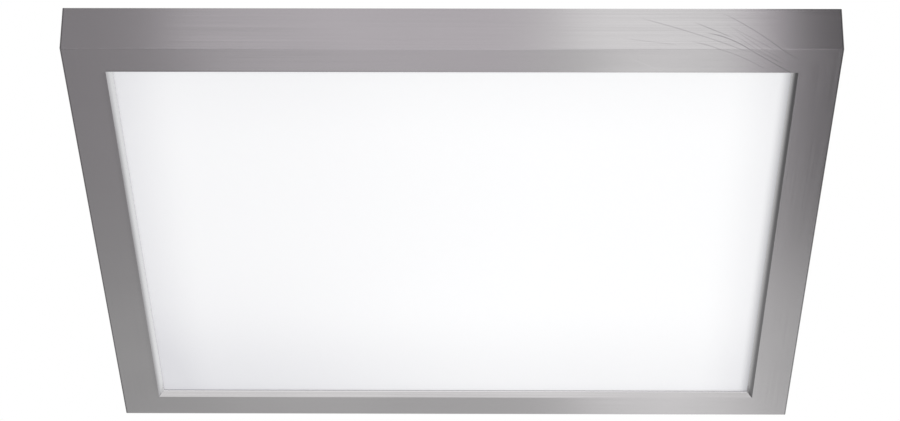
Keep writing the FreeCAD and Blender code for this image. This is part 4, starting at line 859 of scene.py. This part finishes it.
# Studio. A pale floor far below, two soft boxes and a white surround, and plain cards, dark and bright, that
# only the metal reflects. They give its flat sides their slow changes of tone.
FLOOR_Z = -9
FLOOR_REACH = 30
AMBIENT = 0.7
floor_shape = bmesh.new()
bmesh.ops.create_grid(floor_shape, x_segments=1, y_segments=1, size=FLOOR_REACH)
floor = placed("floor", as_mesh(floor_shape, "floor"))
floor.location = (0, 0, FLOOR_Z)
paint, place, fill = finish("floor_paint", Roughness=0.9)
fill(Base_Color=place.noise(0.6, 2).colour((0.82, 0.82, 0.83, 1), (0.78, 0.78, 0.79, 1)))
wear(paint, floor)


def seen_directly(tree):
    """1 for the rays that show the background: from the camera, off metal and through glass."""
    rays = Wire(tree).node("LightPath").socket.node.outputs
    shown = Wire(tree, rays["Is Camera Ray"])
    for name in ("Is Glossy Ray", "Is Transmission Ray"):
        shown = shown.larger(Wire(tree, rays[name]))
    return shown


world = bpy.data.worlds.new("studio")
world.use_nodes = True
bpy.context.scene.world = world
tint = seen_directly(world.node_tree).colour((AMBIENT, AMBIENT, AMBIENT, 1), (1, 1, 1, 1))
feed(world.node_tree.nodes["Background"].inputs["Color"], tint)


def glow(material, level):
    """Shows a stage piece at that level to the rays that show the background."""
    tree = material.node_tree
    lit = Wire(tree, tree.nodes["Principled BSDF"].outputs[0])
    light = Wire(tree).node("Emission", None, {"Color": (1, 1, 1, 1), "Strength": level})
    mixed = Wire(tree).node("MixShader", None, {0: seen_directly(tree), 1: lit, 2: light})
    feed(tree.nodes["Material Output"].inputs[0], mixed)


glow(paint, 1)
# Each card has its left and right edge, the places of its near and far edge, their heights, and its level.
for name, left, right, near, far, low, high, level in (
    ("left_card", -1.1, -0.335, -1.4, -1.4, -2.3, 1.5, 0.46),
    ("right_card", 0.37, 1.1, -1.4, -1.4, -2.3, 1.5, 0.16),
    ("peak_card", 0.12, 0.34, -1.42, -1.42, -2.3, 1.5, 1.6),
    ("left_fold_card", -0.9, -0.42, -1.4, 2.2, -2.35, -2.35, 0.08),
    ("left_floor_card", -1.8, -0.56, 2.2, 4.1, -2.35, -2.35, 0.45),
    ("far_left_card", -1.8, -0.56, 4.1, 6, -2.35, -2.35, 0.67),
    ("near_floor_card", -0.56, 0.26, 2.2, 4.3, -2.35, -2.35, 0.9),
    ("peak_fold_card", 0.15, 0.47, -1.4, 2.2, -2.36, -2.36, 1.4),
    ("right_fold_card", 0.48, 0.8, -1.4, 2.2, -2.35, -2.35, 0.03),
    ("mitre_card", 0.9, 1.4, 0.9, 1.9, -2.34, -2.34, 3.5),
    ("right_floor_card", 0.6, 1.9, 2.2, 4.0, -2.35, -2.35, 0.16),
    ("peak_floor_card", 0.26, 0.56, 2.2, 4.3, -2.36, -2.36, 1.5),
    ("far_floor_card", -0.56, 0.26, 4.3, 6, -2.34, -2.34, 0.79),
    ("far_right_card", 0.64, 1.9, 4.0, 6, -2.35, -2.35, 0.88),
    ("far_peak_card", 0.26, 0.64, 4.3, 6, -2.36, -2.36, 1.4),
    ("lit_floor_card", -0.8, 0.55, -0.85, -0.15, -2.34, -2.34, 1.55),
    ("dark_bevel_card", -3.6, -0.62, 3, 3, -1.3, 0.6, 0.55),
    ("light_bevel_card", 0.75, 2.15, 3, 3, -1.2, -0.35, 1.5),
    ("right_edge_card", 2.2, 3.8, 3, 3, -1.5, 0.6, 0.2),
):
    corners = [(left, near, low), (right, near, low), (right, far, high), (left, far, high)]
    mesh = bpy.data.meshes.new(name)
    mesh.from_pydata(corners, [], [(0, 1, 2, 3)])
    card = placed(name, mesh)
    card.visible_camera = False
    card.visible_diffuse = False
    card.visible_shadow = False
    material, _, _ = finish(name, Roughness=1)
    glow(material, level)
    wear(material, card)
# Each soft box has its place, its width and its power, and faces the light.
for name, place, width, watts in (
    ("near_box", (-1.2, -2.6, 1.8), 1.4, 22),
    ("far_box", (1.4, 2.4, 1.6), 1.2, 14),
):
    lamp = bpy.data.lights.new(name, "AREA")
    lamp.shape = "SQUARE"
    lamp.size = width
    lamp.energy = watts
    box = placed(name, lamp)
    box.location = place
    box.rotation_euler = (-Vector(place)).to_track_quat("-Z", "Y").to_euler()
    box.visible_camera = False
    box.visible_glossy = False

# Camera. It looks up at the light from the near side through a long lens, so that the corners of the frame
# and of the opening fall where the photograph has them.
YAW, PITCH, ROLL = math.radians(-0.59), math.radians(30.98), math.radians(0.41)
CAMERA_PLACE = (0.0232, -2.5815, -1.5538)
LENS, SENSOR_WIDTH = 140.6, 36
ahead = Vector((math.sin(YAW) * math.cos(PITCH), math.cos(YAW) * math.cos(PITCH), math.sin(PITCH)))
right = Vector((math.cos(YAW), -math.sin(YAW), 0))
up = right.cross(ahead)
right, up = (
    right * math.cos(ROLL) + up * math.sin(ROLL),
    up * math.cos(ROLL) - right * math.sin(ROLL),
)
camera = placed("camera", bpy.data.cameras.new("camera"))
camera.data.lens = LENS
camera.data.sensor_width = SENSOR_WIDTH
camera.matrix_world = Matrix.Translation(CAMERA_PLACE) @ Matrix((right, up, -ahead)).transposed().to_4x4()
bpy.context.scene.camera = camera
bpy.context.scene.view_settings.view_transform = "Standard"
